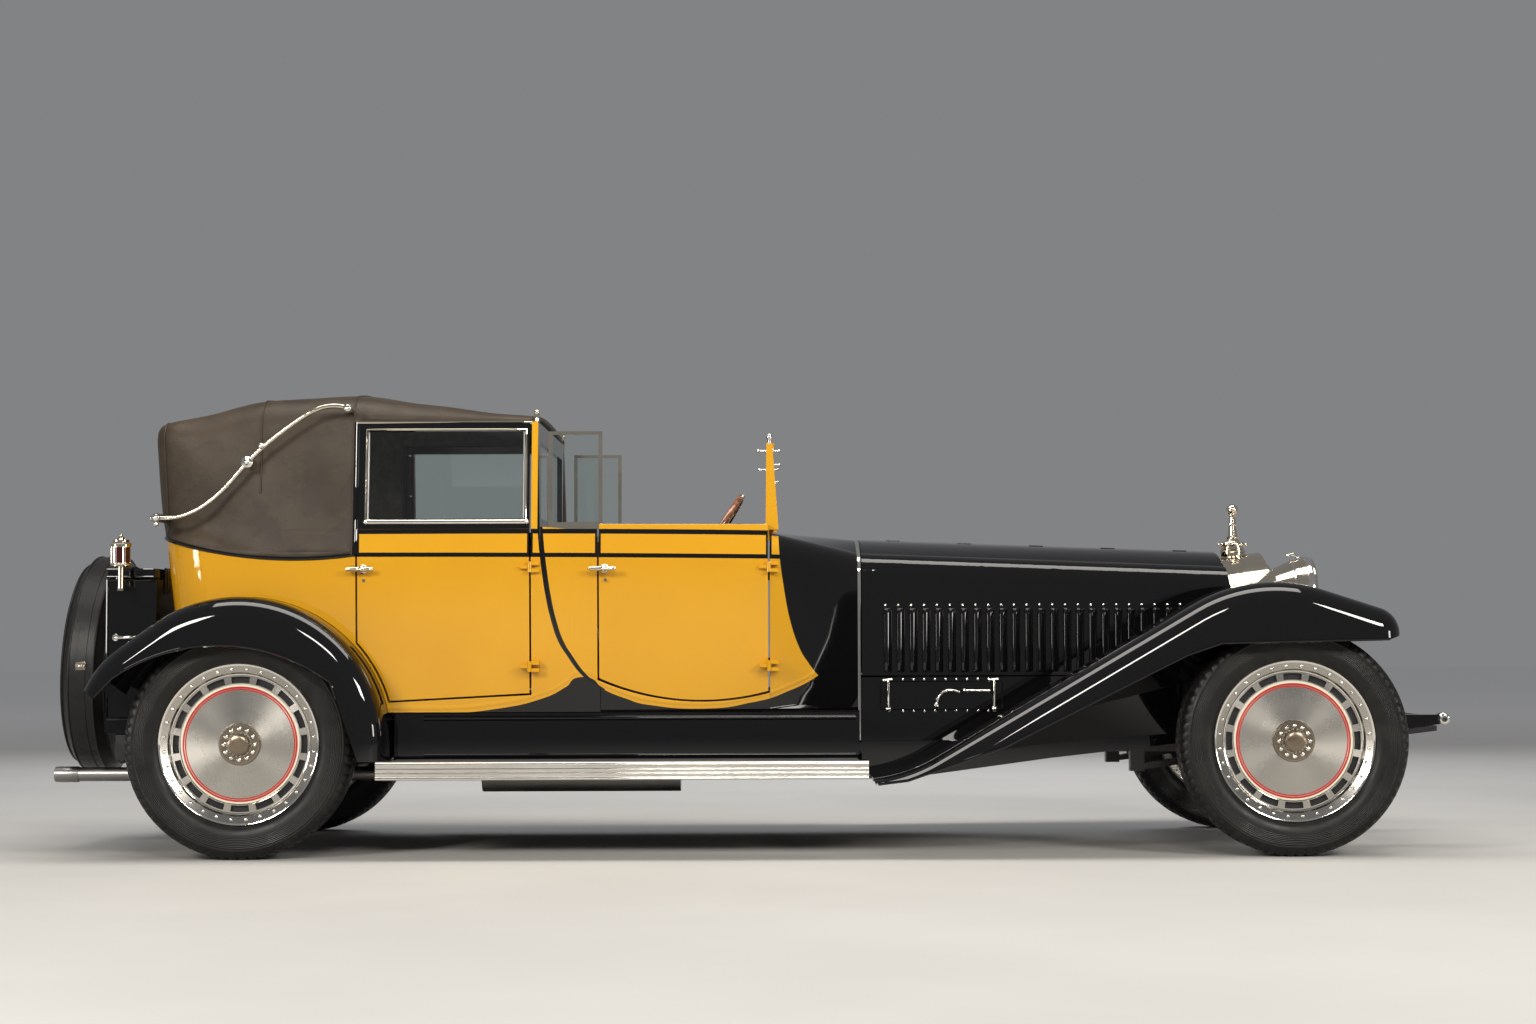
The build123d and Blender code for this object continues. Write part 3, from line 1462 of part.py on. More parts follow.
# Trunk
trunk = block(trunk_rear_x, trunk_front_x, -trunk_half_width, trunk_half_width, trunk_bottom_z, trunk_top_z)
trunk = trunk - block(
    trunk_rear_x + trunk_wall,
    trunk_front_x - trunk_wall,
    -trunk_half_width + trunk_wall,
    trunk_half_width - trunk_wall,
    trunk_bottom_z + trunk_wall,
    trunk_top_z + 1.0,
)
lid_low_z = trunk_top_z + lid_gap
lid_high_z = trunk_top_z + trunk_lid_height
lid_y = trunk_half_width
lid = block(trunk_rear_x, trunk_front_x - lid_gap, -lid_y, lid_y, lid_low_z, lid_high_z)
lid_hinge_x = trunk_front_x + lid_gap
lid_pin = lid_hinge_radius / 2
for y in (-350.0, 350.0):
    outer_part = across(lid_hinge_x, y - 30.0, y - 10.0, lid_high_z, lid_hinge_radius)
    inner_part = across(lid_hinge_x, y + 10.0, y + 30.0, lid_high_z, lid_hinge_radius)
    leaves = [
        block(trunk_front_x, lid_hinge_x, y0, y0 + 20.0, trunk_top_z - 60.0, lid_high_z)
        for y0 in (y - 30.0, y + 10.0)
    ]
    pin = across(lid_hinge_x, y - 30.0, y + 30.0, lid_high_z, lid_pin)
    trunk = trunk.fuse(outer_part, inner_part, *leaves, pin)
    eye = across(lid_hinge_x, y - 9.0, y + 9.0, lid_high_z, lid_hinge_radius)
    tab_low_z = lid_high_z - lid_hinge_radius + 1.0
    tab = block(trunk_front_x - 40.0, lid_hinge_x, y - 9.0, y + 9.0, tab_low_z, lid_high_z)
    bore = across(lid_hinge_x, y - 31.0, y + 31.0, lid_high_z, lid_pin + running_clearance)
    lid = lid.fuse(eye, tab) - bore
save("trunk", trunk)
save("trunk_lid", lid)

# Rear lamps
lantern = fused(
    upright(lantern_x, lantern_y, lantern_bottom_z, lantern_top_z, 34.0),
    upright(lantern_x, lantern_y, lantern_bottom_z, lantern_bottom_z + 12.0, 42.0),
    upright(lantern_x, lantern_y, lantern_top_z - 30.0, lantern_top_z - 18.0, 42.0),
    upright(lantern_x, lantern_y, 1110.0, lantern_bottom_z, 12.0),
    block(lantern_x - 12.0, lantern_x + 12.0, trunk_half_width, lantern_y + 8.0, 1100.0, 1120.0),
)
save("rear_lamps", pair(lantern))

# Headlamps
lamp_profile = [
    (0.0, 0.0),
    (lamp_radius, 0.0),
    (lamp_radius, -24.0),
    (lamp_radius * 0.92, -80.0),
    (lamp_radius * 0.72, -150.0),
    (lamp_radius * 0.40, -210.0),
    (lamp_radius * 0.12, -lamp_length),
    (0.0, -lamp_length),
]
lamp = turned(lamp_profile).rotate(Axis.Z, -90)
lamp = Pos(lamp_lens_x, lamp_y, lamp_z) * lamp
lamp_post_x = lamp_lens_x - 32.0
post_foot_z = rail_top_at(lamp_post_x)
lamp_bar_z = lamp_z - lamp_radius - 24.0
lamp_post = upright(lamp_post_x, rail_mid_y, post_foot_z, lamp_bar_z, 16.0)
lamp_stem = upright(lamp_post_x, lamp_y, lamp_bar_z, lamp_z - lamp_radius + 30.0, 16.0)
lamp_bar = across(lamp_post_x, -lamp_y - 16.0, lamp_y + 16.0, lamp_bar_z, lamp_bar_radius)
left_lamp_parts = (lamp, lamp_post, lamp_stem)
headlamps = fused(lamp_bar, *left_lamp_parts, *[other_side(part) for part in left_lamp_parts])
save("headlamps", headlamps - rail - other_side(rail))
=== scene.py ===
import json
import math

import bmesh
import bpy
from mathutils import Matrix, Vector
from mathutils.bvhtree import BVHTree


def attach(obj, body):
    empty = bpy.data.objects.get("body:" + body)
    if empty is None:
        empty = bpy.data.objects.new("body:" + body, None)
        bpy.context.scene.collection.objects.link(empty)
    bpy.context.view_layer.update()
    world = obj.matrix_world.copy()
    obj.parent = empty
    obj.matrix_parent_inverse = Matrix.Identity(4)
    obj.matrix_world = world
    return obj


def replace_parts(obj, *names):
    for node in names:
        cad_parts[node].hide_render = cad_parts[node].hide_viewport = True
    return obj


# Looks of a large landaulet of about 1930. Places are millimetres as drawn in the part's source,
# and at() turns them into metres of the row frame, whose X is smaller by DRAWN_X.

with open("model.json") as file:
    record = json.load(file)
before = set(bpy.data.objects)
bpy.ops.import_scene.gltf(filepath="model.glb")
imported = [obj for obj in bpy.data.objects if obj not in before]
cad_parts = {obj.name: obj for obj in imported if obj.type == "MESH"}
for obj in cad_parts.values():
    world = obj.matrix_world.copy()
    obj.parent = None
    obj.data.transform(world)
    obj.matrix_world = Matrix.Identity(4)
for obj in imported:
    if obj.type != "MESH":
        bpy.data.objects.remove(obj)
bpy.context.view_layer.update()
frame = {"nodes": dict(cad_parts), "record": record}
nodes = frame["nodes"]

DRAWN_X = 37.5
AXLE_Z = 468
FRONT_X = 2270
REAR_X = -2030
WHEEL_Y = 800
BOTH = ((-1, "right"), (1, "left"))


def at(x, y, z):
    """A drawn place as a point of the row frame."""
    return Vector(((x - DRAWN_X) / 1000, y / 1000, z / 1000))


def body_name(node):
    """The CAD body that carries a node."""
    bodies = frame["record"]["behaviour"]["bodies"]
    return next(name for name, members in bodies.items() if node in members)


# Materials


class Paint:
    """Small builder of node trees."""

    def __init__(self, name):
        self.mat = bpy.data.materials.new(name)
        self.mat.use_nodes = True
        self.tree = self.mat.node_tree
        self.bsdf = self.tree.nodes["Principled BSDF"]
        self.coords = self.tree.nodes.new("ShaderNodeTexCoord").outputs["Object"]

    def node(self, kind, **values):
        made = self.tree.nodes.new(kind)
        for key, value in values.items():
            setattr(made, key, value)
        return made

    def feed(self, target, value):
        """Set a socket to a number or a colour, or link it to another socket."""
        if isinstance(value, tuple):
            target.default_value = (*value, 1.0)
        elif isinstance(value, (int, float)):
            target.default_value = value
        else:
            self.tree.links.new(value, target)

    def math(self, operation, a, b=0.0):
        made = self.node("ShaderNodeMath", operation=operation)
        self.feed(made.inputs[0], a)
        self.feed(made.inputs[1], b)
        return made.outputs[0]

    def times(self, a, b):
        return self.math("MULTIPLY", a, b)

    def minus(self, a, b):
        return self.math("SUBTRACT", a, b)

    def off(self, value, centre=0.0):
        """Distance of a value from a centre."""
        return self.math("ABSOLUTE", self.minus(value, centre) if centre else value)

    def most(self, first, *others):
        for other in others:
            first = self.math("MAXIMUM", first, other)
        return first

    def length(self, a, b):
        return self.math("SQRT", self.math("ADD", self.times(a, a), self.times(b, b)))

    def parts(self, vector=None):
        split = self.node("ShaderNodeSeparateXYZ")
        self.feed(split.inputs[0], vector or self.coords)
        return tuple(split.outputs)

    def stretched(self, *share):
        mapping = self.node("ShaderNodeMapping")
        mapping.inputs["Scale"].default_value = share
        self.feed(mapping.inputs["Vector"], self.coords)
        return mapping.outputs[0]

    def noise(self, scale, detail=4.0, rough=0.6, place=None):
        made = self.node("ShaderNodeTexNoise")
        for key, value in (("Scale", scale), ("Detail", detail), ("Roughness", rough)):
            self.feed(made.inputs[key], value)
        self.feed(made.inputs["Vector"], place or self.coords)
        return made.outputs["Fac"]

    def cells(self, scale, feature="F1", place=None):
        made = self.node("ShaderNodeTexVoronoi", feature=feature)
        self.feed(made.inputs["Scale"], scale)
        self.feed(made.inputs["Vector"], place or self.coords)
        return made.outputs["Distance"]

    def ramp(self, value, low, high, out_low=0.0, out_high=1.0, kind="SMOOTHSTEP"):
        made = self.node("ShaderNodeMapRange", interpolation_type=kind)
        for socket, number in zip(made.inputs, (value, low, high, out_low, out_high)):
            self.feed(socket, number)
        return made.outputs[0]

    def mix(self, share, a, b):
        made = self.node("ShaderNodeMix", data_type="RGBA")
        for index, value in ((0, share), (6, a), (7, b)):
            self.feed(made.inputs[index], value)
        return made.outputs[2]

    def mottled(self, a, b, scale, detail, low, high):
        """Two colours in soft patches."""
        return self.mix(self.ramp(self.noise(scale, detail), low, high), a, b)

    def curve(self, value, points):
        """A graph through (input, output) points, in metres."""
        low, high = min(p[0] for p in points), max(p[0] for p in points)
        foot, top = min(p[1] for p in points), max(p[1] for p in points)
        span = max(top - foot, 1e-6)
        made = self.node("ShaderNodeFloatCurve")
        graph = made.mapping.curves[0]
        for k, (a, b) in enumerate(points):
            place = ((a - low) / (high - low), (b - foot) / span)
            if k < 2:
                graph.points[k].location = place
            else:
                graph.points.new(*place)
        made.mapping.update()
        self.feed(made.inputs["Value"], self.ramp(value, low, high, kind="LINEAR"))
        return self.math("ADD", self.times(made.outputs[0], span), foot)

    def bump(self, height, strength=0.3, distance=0.001, under=None):
        made = self.node("ShaderNodeBump")
        for key, value in (("Strength", strength), ("Distance", distance), ("Height", height)):
            self.feed(made.inputs[key], value)
        if under is not None:
            self.feed(made.inputs["Normal"], under)
        return made.outputs[0]

    def worn(self, low, high, scale=3.0):
        """Roughness with soft smudges."""
        return self.ramp(self.noise(scale, 6.0, 0.7), 0.35, 0.7, low, high)

    def done(self, color, metallic=0.0, roughness=0.5, normal=None, **more):
        sockets = {"Base Color": color, "Metallic": metallic, "Roughness": roughness}
        sockets.update((key.replace("_", " "), value) for key, value in more.items())
        if normal is not None:
            sockets["Normal"] = normal
        for key, value in sockets.items():
            self.feed(self.bsdf.inputs[key], value)
        return self.mat


YELLOW = (0.66, 0.328, 0.012)
BLACK = (0.003, 0.003, 0.0035)
CLEAR_COAT = {"Coat_Weight": 1.0, "Coat_Roughness": 0.03, "Specular_IOR_Level": 0.0}


def toned(color, share, more=0.0):
    """A colour made darker or lighter."""
    return tuple(min(1.0, c * share + more) for c in color)


def enamel(name, color):
    """Old polished enamel: faint ripples under a clear coat."""
    p = Paint(name)
    ripple = p.bump(p.noise(9.0, 2.0), 0.06, 0.004)
    return p.done(color, 0.0, p.worn(0.16, 0.26), ripple, **CLEAR_COAT)


def metal(name, color, low, high):
    """Plated or polished metal, with smudges and fine scratches."""
    p = Paint(name)
    tone = p.mottled(color, toned(color, 0.86), 6.0, 4.0, 0.3, 0.8)
    return p.done(tone, 1.0, p.worn(low, high, 8.0), p.bump(p.noise(400.0, 3.0, 0.7), 0.08, 0.0004))


def satin(name, color, rough=0.5, grain=60.0, depth=0.0005):
    """Plain satin coat on castings, forgings and frames, with dust in it."""
    p = Paint(name)
    tone = p.mottled(color, toned(color, 1.7, 0.01), 5.0, 6.0, 0.35, 0.75)
    return p.done(tone, 0.0, p.worn(rough - 0.1, rough + 0.12), p.bump(p.noise(grain, 6.0), 0.35, depth))


def leather(name, color, grain=900.0, crease=14.0, depth=0.0009, low=0.4, high=0.6):
    """Leather with a pebbled grain, long creases with painted shade in their hollows, and worn tone."""
    p = Paint(name)
    creases = p.ramp(p.noise(crease, 8.0, 0.62), 0.42, 0.6)
    # painted shade: the tone is a quarter darker where the crease bump is low
    tone = p.mottled(p.mix(creases, toned(color, 0.75), color), toned(color, 1.35), 2.0, 5.0, 0.4, 0.8)
    normal = p.bump(creases, 0.35, depth * 4, p.bump(p.cells(grain), 0.5, depth))
    return p.done(tone, 0.0, p.worn(low, high), normal, Specular_IOR_Level=0.3)


def glass(name, tint):
    p = Paint(name)
    dust = p.ramp(p.noise(3.0, 6.0), 0.45, 0.9, 0.01, 0.06)
    return p.done(tint, 0.0, dust, Transmission_Weight=1.0, IOR=1.45)


def wood(name, dark, light):
    p = Paint(name)
    rings = p.noise(6.0, 8.0, 0.6, p.stretched(1.0, 6.0, 6.0))
    tone = p.mix(p.ramp(rings, 0.35, 0.7), dark, light)
    ripple = p.bump(rings, 0.1, 0.0005)
    return p.done(tone, 0.0, p.worn(0.2, 0.32), ripple, Coat_Weight=0.8, Coat_Roughness=0.06)


def cloth(name, color):
    p = Paint(name)
    tone = p.mottled(color, toned(color, 1.5), 30.0, 6.0, 0.3, 0.8)
    return p.done(tone, 0.0, 0.95, p.bump(p.cells(1400.0), 0.5, 0.001), Sheen_Weight=0.3)


def honeycomb(name):
    """Radiator matrix: small cells, with painted shade inside them."""
    p = Paint(name)
    edges = p.cells(110.0, "DISTANCE_TO_EDGE", p.stretched(0.2, 1.0, 1.0))
    wall = p.ramp(edges, 0.05, 0.12, 1.0, 0.0)
    # painted shade: the insides of the cells are near black and dull, the walls bronze
    color = p.mix(wall, (0.02, 0.015, 0.01), (0.42, 0.33, 0.2))
    return p.done(color, p.times(wall, 0.9), 0.4, p.bump(wall, 0.8, 0.004))


def from_hub(p):
    """Row frame place as distances ahead of and above the nearest wheel's middle, and the radius."""
    x, _, z = p.parts()
    middle = p.ramp(x, -0.1, 0.1, (REAR_X - DRAWN_X) / 1000, (FRONT_X - DRAWN_X) / 1000)
    ahead = p.minus(x, middle)
    up = p.minus(z, AXLE_Z / 1000)
    return ahead, up, p.length(ahead, up)


def rubber(name):
    """Tyre rubber with fine moulded rings on its side."""
    p = Paint(name)
    radius = from_hub(p)[2]
    rings = p.math("SINE", p.times(radius, 900.0))
    height = p.times(rings, p.ramp(p.off(radius, 0.405), 0.030, 0.018))
    tone = p.mottled((0.0045, 0.0044, 0.0042), (0.012, 0.0108, 0.009), 14.0, 6.0, 0.35, 0.75)
    normal = p.bump(height, 0.5, 0.0012, p.bump(p.noise(120.0, 5.0), 0.25, 0.0006))
    return p.done(tone, 0.0, p.worn(0.34, 0.5, 9.0), normal, Specular_IOR_Level=0.3)


def wheel_face(name):
    """Turned disc: circular tool marks, a cream ring and two red pinstripes."""
    p = Paint(name)
    ahead, up, radius = from_hub(p)
    outside = p.ramp(p.off(p.parts()[1]), 0.806, 0.810)

    def ring(centre, half):
        return p.ramp(p.off(radius, centre), half + 0.0004, half - 0.0004)

    red = p.times(p.most(ring(0.2315, 0.0034), ring(0.2225, 0.0026)), outside)
    cream = p.times(ring(0.2400, 0.0045), outside)
    base = p.mottled((0.52, 0.495, 0.45), (0.46, 0.44, 0.40), 3.0, 2.0, 0.3, 0.8)
    color = p.mix(red, p.mix(cream, base, (0.78, 0.72, 0.55)), (0.50, 0.016, 0.008))
    turned = p.node("ShaderNodeCombineXYZ")
    p.feed(turned.inputs[0], radius)
    marks = p.noise(900.0, 3.0, 0.5, turned.outputs[0])
    tangent = p.node("ShaderNodeCombineXYZ")
    p.feed(tangent.inputs[0], up)
    p.feed(tangent.inputs[2], p.times(ahead, -1.0))
    brushed = p.node("ShaderNodeVectorTransform", convert_from="OBJECT", convert_to="WORLD")
    brushed.vector_type = "VECTOR"
    p.feed(brushed.inputs[0], tangent.outputs[0])
    return p.done(
        color, p.minus(1.0, p.most(red, cream)), p.worn(0.25, 0.30, 4.0), p.bump(marks, 0.25, 0.0005),
        Anisotropic=0.8, Tangent=brushed.outputs[0],
    )


PAINT_EDGE = 0.0008
DIVIDER_HALF = 0.012
BEAD_INSET = 0.003
RIM_UP = 0.022


def scaled(points):
    """Drawn (x, z) points in row frame metres."""
    return [((x - DRAWN_X) / 1000, z / 1000) for x, z in points]


# Lines of the two-colour paint in side view; the upright ones are read from z to x
BOTTOM_LINE = scaled([
    (-1500, 588), (-1300, 588), (-1185, 588), (-979, 608), (-814, 645), (-700, 700), (-640, 736),
    (-566, 690), (-460, 645), (-360, 618), (-154, 602), (52, 626), (217, 675), (337, 736),
])
SWORD_LINE = [(z, x) for x, z in scaled([
    (-560, 686), (-600, 715), (-649, 762), (-690, 820), (-731, 888), (-758, 970), (-777, 1053),
    (-801, 1218), (-814, 1350),
])]
NOSE_LINE = [(z, x) for x, z in scaled([
    (337, 736), (295, 790), (258, 852), (217, 976), (192, 1112), (176, 1235), (171, 1347),
])]
BELT_LOW = scaled([(-1600, 1243), (-855, 1240), (180, 1232)])
BELT_TOP = scaled([(-1600, 1338), (-855, 1338), (180, 1330)])
DIVIDERS = (-1572, -855, -575, 131)
BELT_START = -1.6375


def two_colour(name, black_top=None):
    """Yellow enamel with black lines: black below the bottom line, ahead of the nose line, above black_top.

    The beads are raised, and faces that look inward show the lining.
    """
    p = Paint(name)
    x, y, z = p.parts()

    def line(distance, half):
        return p.ramp(p.off(distance), half + PAINT_EDGE, half - PAINT_EDGE)

    above, belt_low, belt_top = (p.minus(z, p.curve(x, graph)) for graph in (BOTTOM_LINE, BELT_LOW, BELT_TOP))
    sword, nose = (p.minus(x, p.curve(z, graph)) for graph in (SWORD_LINE, NOSE_LINE))
    ahead = p.ramp(x, BELT_START, BELT_START + 0.001)
    beaded = ((belt_low, 0.009), (belt_top, 0.010), (sword, 0.011))
    lines = p.times(p.most(*(line(*each) for each in beaded)), ahead)
    beads = p.times(p.most(*(line(distance, half - BEAD_INSET) for distance, half in beaded)), ahead)
    band = p.times(p.ramp(belt_low, -0.009, -0.008), p.ramp(belt_top, 0.010, 0.009))
    for divider in DIVIDERS:
        lines = p.most(lines, p.times(line(p.minus(x, at(divider, 0, 0).x), DIVIDER_HALF), band))
    yellow = p.times(p.ramp(above, -PAINT_EDGE, PAINT_EDGE), p.ramp(nose, PAINT_EDGE, -PAINT_EDGE))
    yellow = p.times(yellow, p.minus(1.0, lines))
    if black_top is not None:
        yellow = p.times(yellow, p.ramp(z, black_top + PAINT_EDGE, black_top - PAINT_EDGE))
    height = p.most(beads, p.times(p.ramp(p.off(above, RIM_UP), 0.012, 0.002), 0.6))
    facing = p.parts(p.node("ShaderNodeTexCoord").outputs["Normal"])[1]
    lined = p.ramp(p.times(facing, p.math("SIGN", y)), -0.30, -0.45)
    tint = p.mottled(YELLOW, (YELLOW[0] * 0.93, YELLOW[1] * 0.9, YELLOW[2]), 1.3, 3.0, 0.3, 0.8)
    lining = p.mottled((0.060, 0.033, 0.020), (0.090, 0.050, 0.030), 2.0, 5.0, 0.4, 0.8)
    ripple = p.bump(p.noise(7.0, 2.0), 0.05, 0.004)
    normal = p.bump(p.times(height, p.minus(1.0, lined)), 0.9, 0.003, ripple)
    rough = p.math("ADD", p.worn(0.14, 0.24), p.times(lined, 0.35))
    return p.done(p.mix(lined, p.mix(yellow, BLACK, tint), lining), 0.0, rough, normal, **CLEAR_COAT)


BODY = two_colour("body_two_colour")
DOOR = two_colour("door_two_colour", 1.348)
COWL = two_colour("cowl_two_colour")
YELLOW_GLOSS = enamel("yellow_enamel", YELLOW)
BLACK_GLOSS = enamel("black_enamel", BLACK)
# opaque dark enamel for the back window: painted shade of the cabin behind it
PAINTED_SHADE_PANE = enamel("painted_shade_pane", (0.02, 0.022, 0.022))
LANTERN_GLASS = enamel("lantern_glass", (0.045, 0.006, 0.004))
CHASSIS = satin("chassis_black", (0.007, 0.007, 0.0075), 0.34)
CAST = satin("cast_iron", (0.10, 0.10, 0.10), 0.55, 160.0, 0.0009)
DIAL = satin("dial_face", (0.75, 0.72, 0.62), 0.35, 40.0, 0.0001)
MAT = satin("board_mat", (0.02, 0.02, 0.02), 0.7, 300.0)
FORGED = metal("forged_steel", (0.32, 0.31, 0.30), 0.3, 0.45)
NICKEL = metal("nickel", (0.74, 0.66, 0.53), 0.05, 0.14)
BRIGHT = metal("bright_metal", (0.86, 0.83, 0.77), 0.04, 0.12)
EDGE_STRIP = metal("edge_strip", (0.84, 0.81, 0.75), 0.08, 0.16)
HUB = metal("hub_bronze", (0.27, 0.215, 0.155), 0.2, 0.34)
ALLOY = metal("cast_alloy", (0.62, 0.61, 0.58), 0.22, 0.4)
WHEEL = wheel_face("turned_alloy")
TYRE = rubber("tyre_rubber")
TOP_LEATHER = leather("top_leather", (0.042, 0.029, 0.017), 700.0, 9.0, 0.0007, 0.38, 0.55)
SEAT_LEATHER = leather("seat_leather", (0.10, 0.05, 0.028))
FRONT_LEATHER = leather("front_seat_leather", (0.022, 0.019, 0.017))
COVER = leather("cover_leather", (0.012, 0.011, 0.011), 600.0, 6.0, 0.0006, 0.3, 0.45)
GLASS = glass("plate_glass", (0.86, 0.92, 0.90))
LENS = glass("lamp_lens", (0.95, 0.97, 0.95))
RIM_WOOD = wood("rim_wood", (0.10, 0.028, 0.010), (0.30, 0.10, 0.03))
DASH_WOOD = wood("dash_wood", (0.07, 0.022, 0.009), (0.20, 0.075, 0.03))
CARPET = cloth("carpet", (0.045, 0.032, 0.024))
LINING = cloth("head_lining", (0.16, 0.13, 0.09))
CORE = honeycomb("radiator_matrix")

NODE_LOOKS = (
    (BODY, "rear_body front_body front_door_left front_door_right"),
    (DOOR, "rear_door_left rear_door_right"),
    (COWL, "cowl"),
    (GLASS, "rear_door_glass_left rear_door_glass_right fixed_glass"),
    (YELLOW_GLOSS, "windscreen_frame"),
    (NICKEL, "quarter_light_frames landau_irons rear_lamps radiator_shell radiator_cap headlamps"),
    (BLACK_GLOSS, "partition bonnet_left bonnet_right side_panels front_fenders rear_fenders"),
    (BLACK_GLOSS, "running_boards trunk trunk_lid chassis_rails"),
    (CHASSIS, "cross_members rear_axle leaf_springs steering_column"),
    (FORGED, "front_axle exhaust tie_rod knuckle_left knuckle_right"),
    (CAST, "engine_block"),
    (CORE, "radiator_core"),
    (TOP_LEATHER, "landau_top"),
    (COVER, "spare_wheel"),
    (FRONT_LEATHER, "front_seat"),
    (SEAT_LEATHER, "rear_seat"),
    (CARPET, "cabin_floor"),
    (DASH_WOOD, "dashboard"),
    (RIM_WOOD, "steering_wheel"),
    (WHEEL, "wheel_front_left wheel_front_right wheel_rear_left wheel_rear_right"),
    (TYRE, "tyre_front_left tyre_front_right tyre_rear_left tyre_rear_right"),
)
for material, names in NODE_LOOKS:
    for name in names.split():
        nodes[name].data.materials.clear()
        nodes[name].data.materials.append(material)


# Meshes

UP = (0, 0, 1)
AHEAD = (1, 0, 0)
LEFT = (0, 1, 0)


def around(count, shift=0.0):
    """Angles spread evenly round a circle."""
    return [2 * math.pi * (k + shift) / count for k in range(count)]


def between(a, b, count):
    """Numbers spread evenly from a to b."""
    return [a + (b - a) * k / (count - 1) for k in range(count)]


def clamp(value):
    return min(1.0, max(0.0, value))


def square_to(way, guide=None):
    """Two directions that are square to a given one and to each other."""
    guide = guide or Vector(UP if abs(way.z) < 0.9 else AHEAD)
    side = (guide - way * guide.dot(way)).normalized()
    return side, way.cross(side)


def ring(centre, side, other, sides):
    """Points round a centre, with two directions as long as the radii."""
    return [tuple(centre + side * math.cos(t) + other * math.sin(t)) for t in around(sides)]


def new_object(name, data, place=(0, 0, 0)):
    obj = bpy.data.objects.new(name, data)
    obj.location = place
    bpy.context.scene.collection.objects.link(obj)
    return obj


def bevelled(obj, width, angle=30):
    """Bevel on the edges over an angle; width is in millimetres."""
    cut = obj.modifiers.new("edges", "BEVEL")
    cut.width = width / 1000
    cut.segments = 2
    cut.limit_method = "ANGLE"
    cut.angle_limit = math.radians(angle)


def smoothed(mesh, angle):
    """Smooth shading, with the edges over an angle kept sharp."""
    for polygon in mesh.polygons:
        polygon.use_smooth = True
    mesh.set_sharp_from_angle(angle=math.radians(angle))


class Shape:
    """Collects simple solids as one mesh, in drawn millimetres."""

    def __init__(self):
        self.points = []
        self.faces = []

    def add(self, points, faces):
        start = len(self.points)
        self.points.extend(at(*p) for p in points)
        self.faces.extend([start + k for k in face] for face in faces)
        return self

    def box(self, x0, x1, y0, y1, z0, z1):
        points = [(x, y, z) for x in (x0, x1) for y in (y0, y1) for z in (z0, z1)]
        faces = [(0, 1, 3, 2), (4, 6, 7, 5), (0, 4, 5, 1), (2, 3, 7, 6), (0, 2, 6, 4), (1, 5, 7, 3)]
        return self.add(points, faces)

    def skin(self, rows, wrap=False, closed=False, flip=False):
        """Faces between rows of points; wrap joins the last row to the first, closed the ends of each."""
        n = len(rows[0])
        faces = []
        for i in range(len(rows) if wrap else len(rows) - 1):
            a = i * n
            b = (i + 1) % len(rows) * n
            for j in range(n if closed else n - 1):
                k = (j + 1) % n
                face = (a + j, a + k, b + k, b + j)
                faces.append(face[::-1] if flip else face)
        return self.add([p for row in rows for p in row], faces)

    def rings(self, loops, wrap=False):
        """Skin over closed loops, with a cap at each end where it doesn't wrap round."""
        start = len(self.points)
        n = len(loops[0])
        self.skin(loops, wrap, True)
        end = len(self.points)
        if not wrap:
            self.faces.append(list(range(start, start + n))[::-1])
            self.faces.append(list(range(end - n, end)))
        return self

    def tube(self, path, radius, sides=10, wrap=False, flat=1.0):
        """Round bar along a path; radius is one number or one for each point."""
        path = [Vector(p) for p in path]
        radii = [radius] * len(path) if isinstance(radius, (int, float)) else radius
        loops = []
        side = None
        for i, here in enumerate(path):
            before = path[i - 1] if i or wrap else here
            after = path[(i + 1) % len(path)] if i + 1 < len(path) or wrap else here
            side, other = square_to((after - before).normalized(), side)
            loops.append(ring(here, side * radii[i], other * flat * radii[i], sides))
        return self.rings(loops, wrap)

    def turned(self, profile, centre, way, sides=32):
        """Turn (radius, reach) points about an axis; a profile that ends where it starts makes a ring."""
        way = Vector(way).normalized()
        side, other = square_to(way)
        loops = []
        for radius, reach in profile:
            radius = max(radius, 0.01)
            loops.append(ring(Vector(centre) + way * reach, side * radius, other * radius, sides))
        wrap = profile[0] == profile[-1]
        return self.rings(loops[:-1] if wrap else loops, wrap)

    def ball(self, centre, radius, sides=16):
        turns = between(0, math.pi, sides // 2 + 1)
        profile = [(radius * math.sin(t), -radius * math.cos(t)) for t in turns]
        return self.turned(profile, centre, UP, sides)

    def mirrored(self):
        """Add the same pieces on the other side of the car."""
        start = len(self.points)
        self.points.extend([Vector((p.x, -p.y, p.z)) for p in self.points])
        self.faces.extend([[start + k for k in face][::-1] for face in self.faces])
        return self

    def make(self, name, material, body="root", bevel=0.0, angle=35):
        mesh = bpy.data.meshes.new(name)
        mesh.from_pydata([tuple(p) for p in self.points], [], self.faces)
        mesh.validate()
        mesh.materials.append(material)
        obj = new_object(name, mesh)
        smoothed(mesh, angle)
        if bevel:
            bevelled(obj, bevel)
        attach(obj, body)
        return obj


def seen_surface(*names):
    """Search tree over the faces of some nodes."""
    points = []
    faces = []
    for name in names:
        mesh = nodes[name].data
        start = len(points)
        points.extend(v.co.copy() for v in mesh.vertices)
        faces.extend([start + k for k in polygon.vertices] for polygon in mesh.polygons)
    return BVHTree.FromPolygons(points, faces)


def on_side(tree, x, z, side, lift=0.0):
    """Outer skin of one side of the car at a drawn x and z, as a drawn point."""
    hit, normal, _, _ = tree.ray_cast(at(x, side * 1300, z), Vector((0, -side, 0)))
    if hit is None:
        return None
    hit = hit + normal * (lift / 1000) * (1 if normal.y * side > 0 else -1)
    return (hit.x * 1000 + DRAWN_X, hit.y * 1000, hit.z * 1000)


def stepped(path, count_of):
    """A side view path in short steps; count_of gives the number of steps from a piece's length."""
    out = []
    for (x0, z0), (x1, z1) in zip(path, path[1:]):
        count = count_of(math.hypot(x1 - x0, z1 - z0))
        out += [(x0 + (x1 - x0) * k / count, z0 + (z1 - z0) * k / count) for k in range(count)]
    return out + [path[-1]]


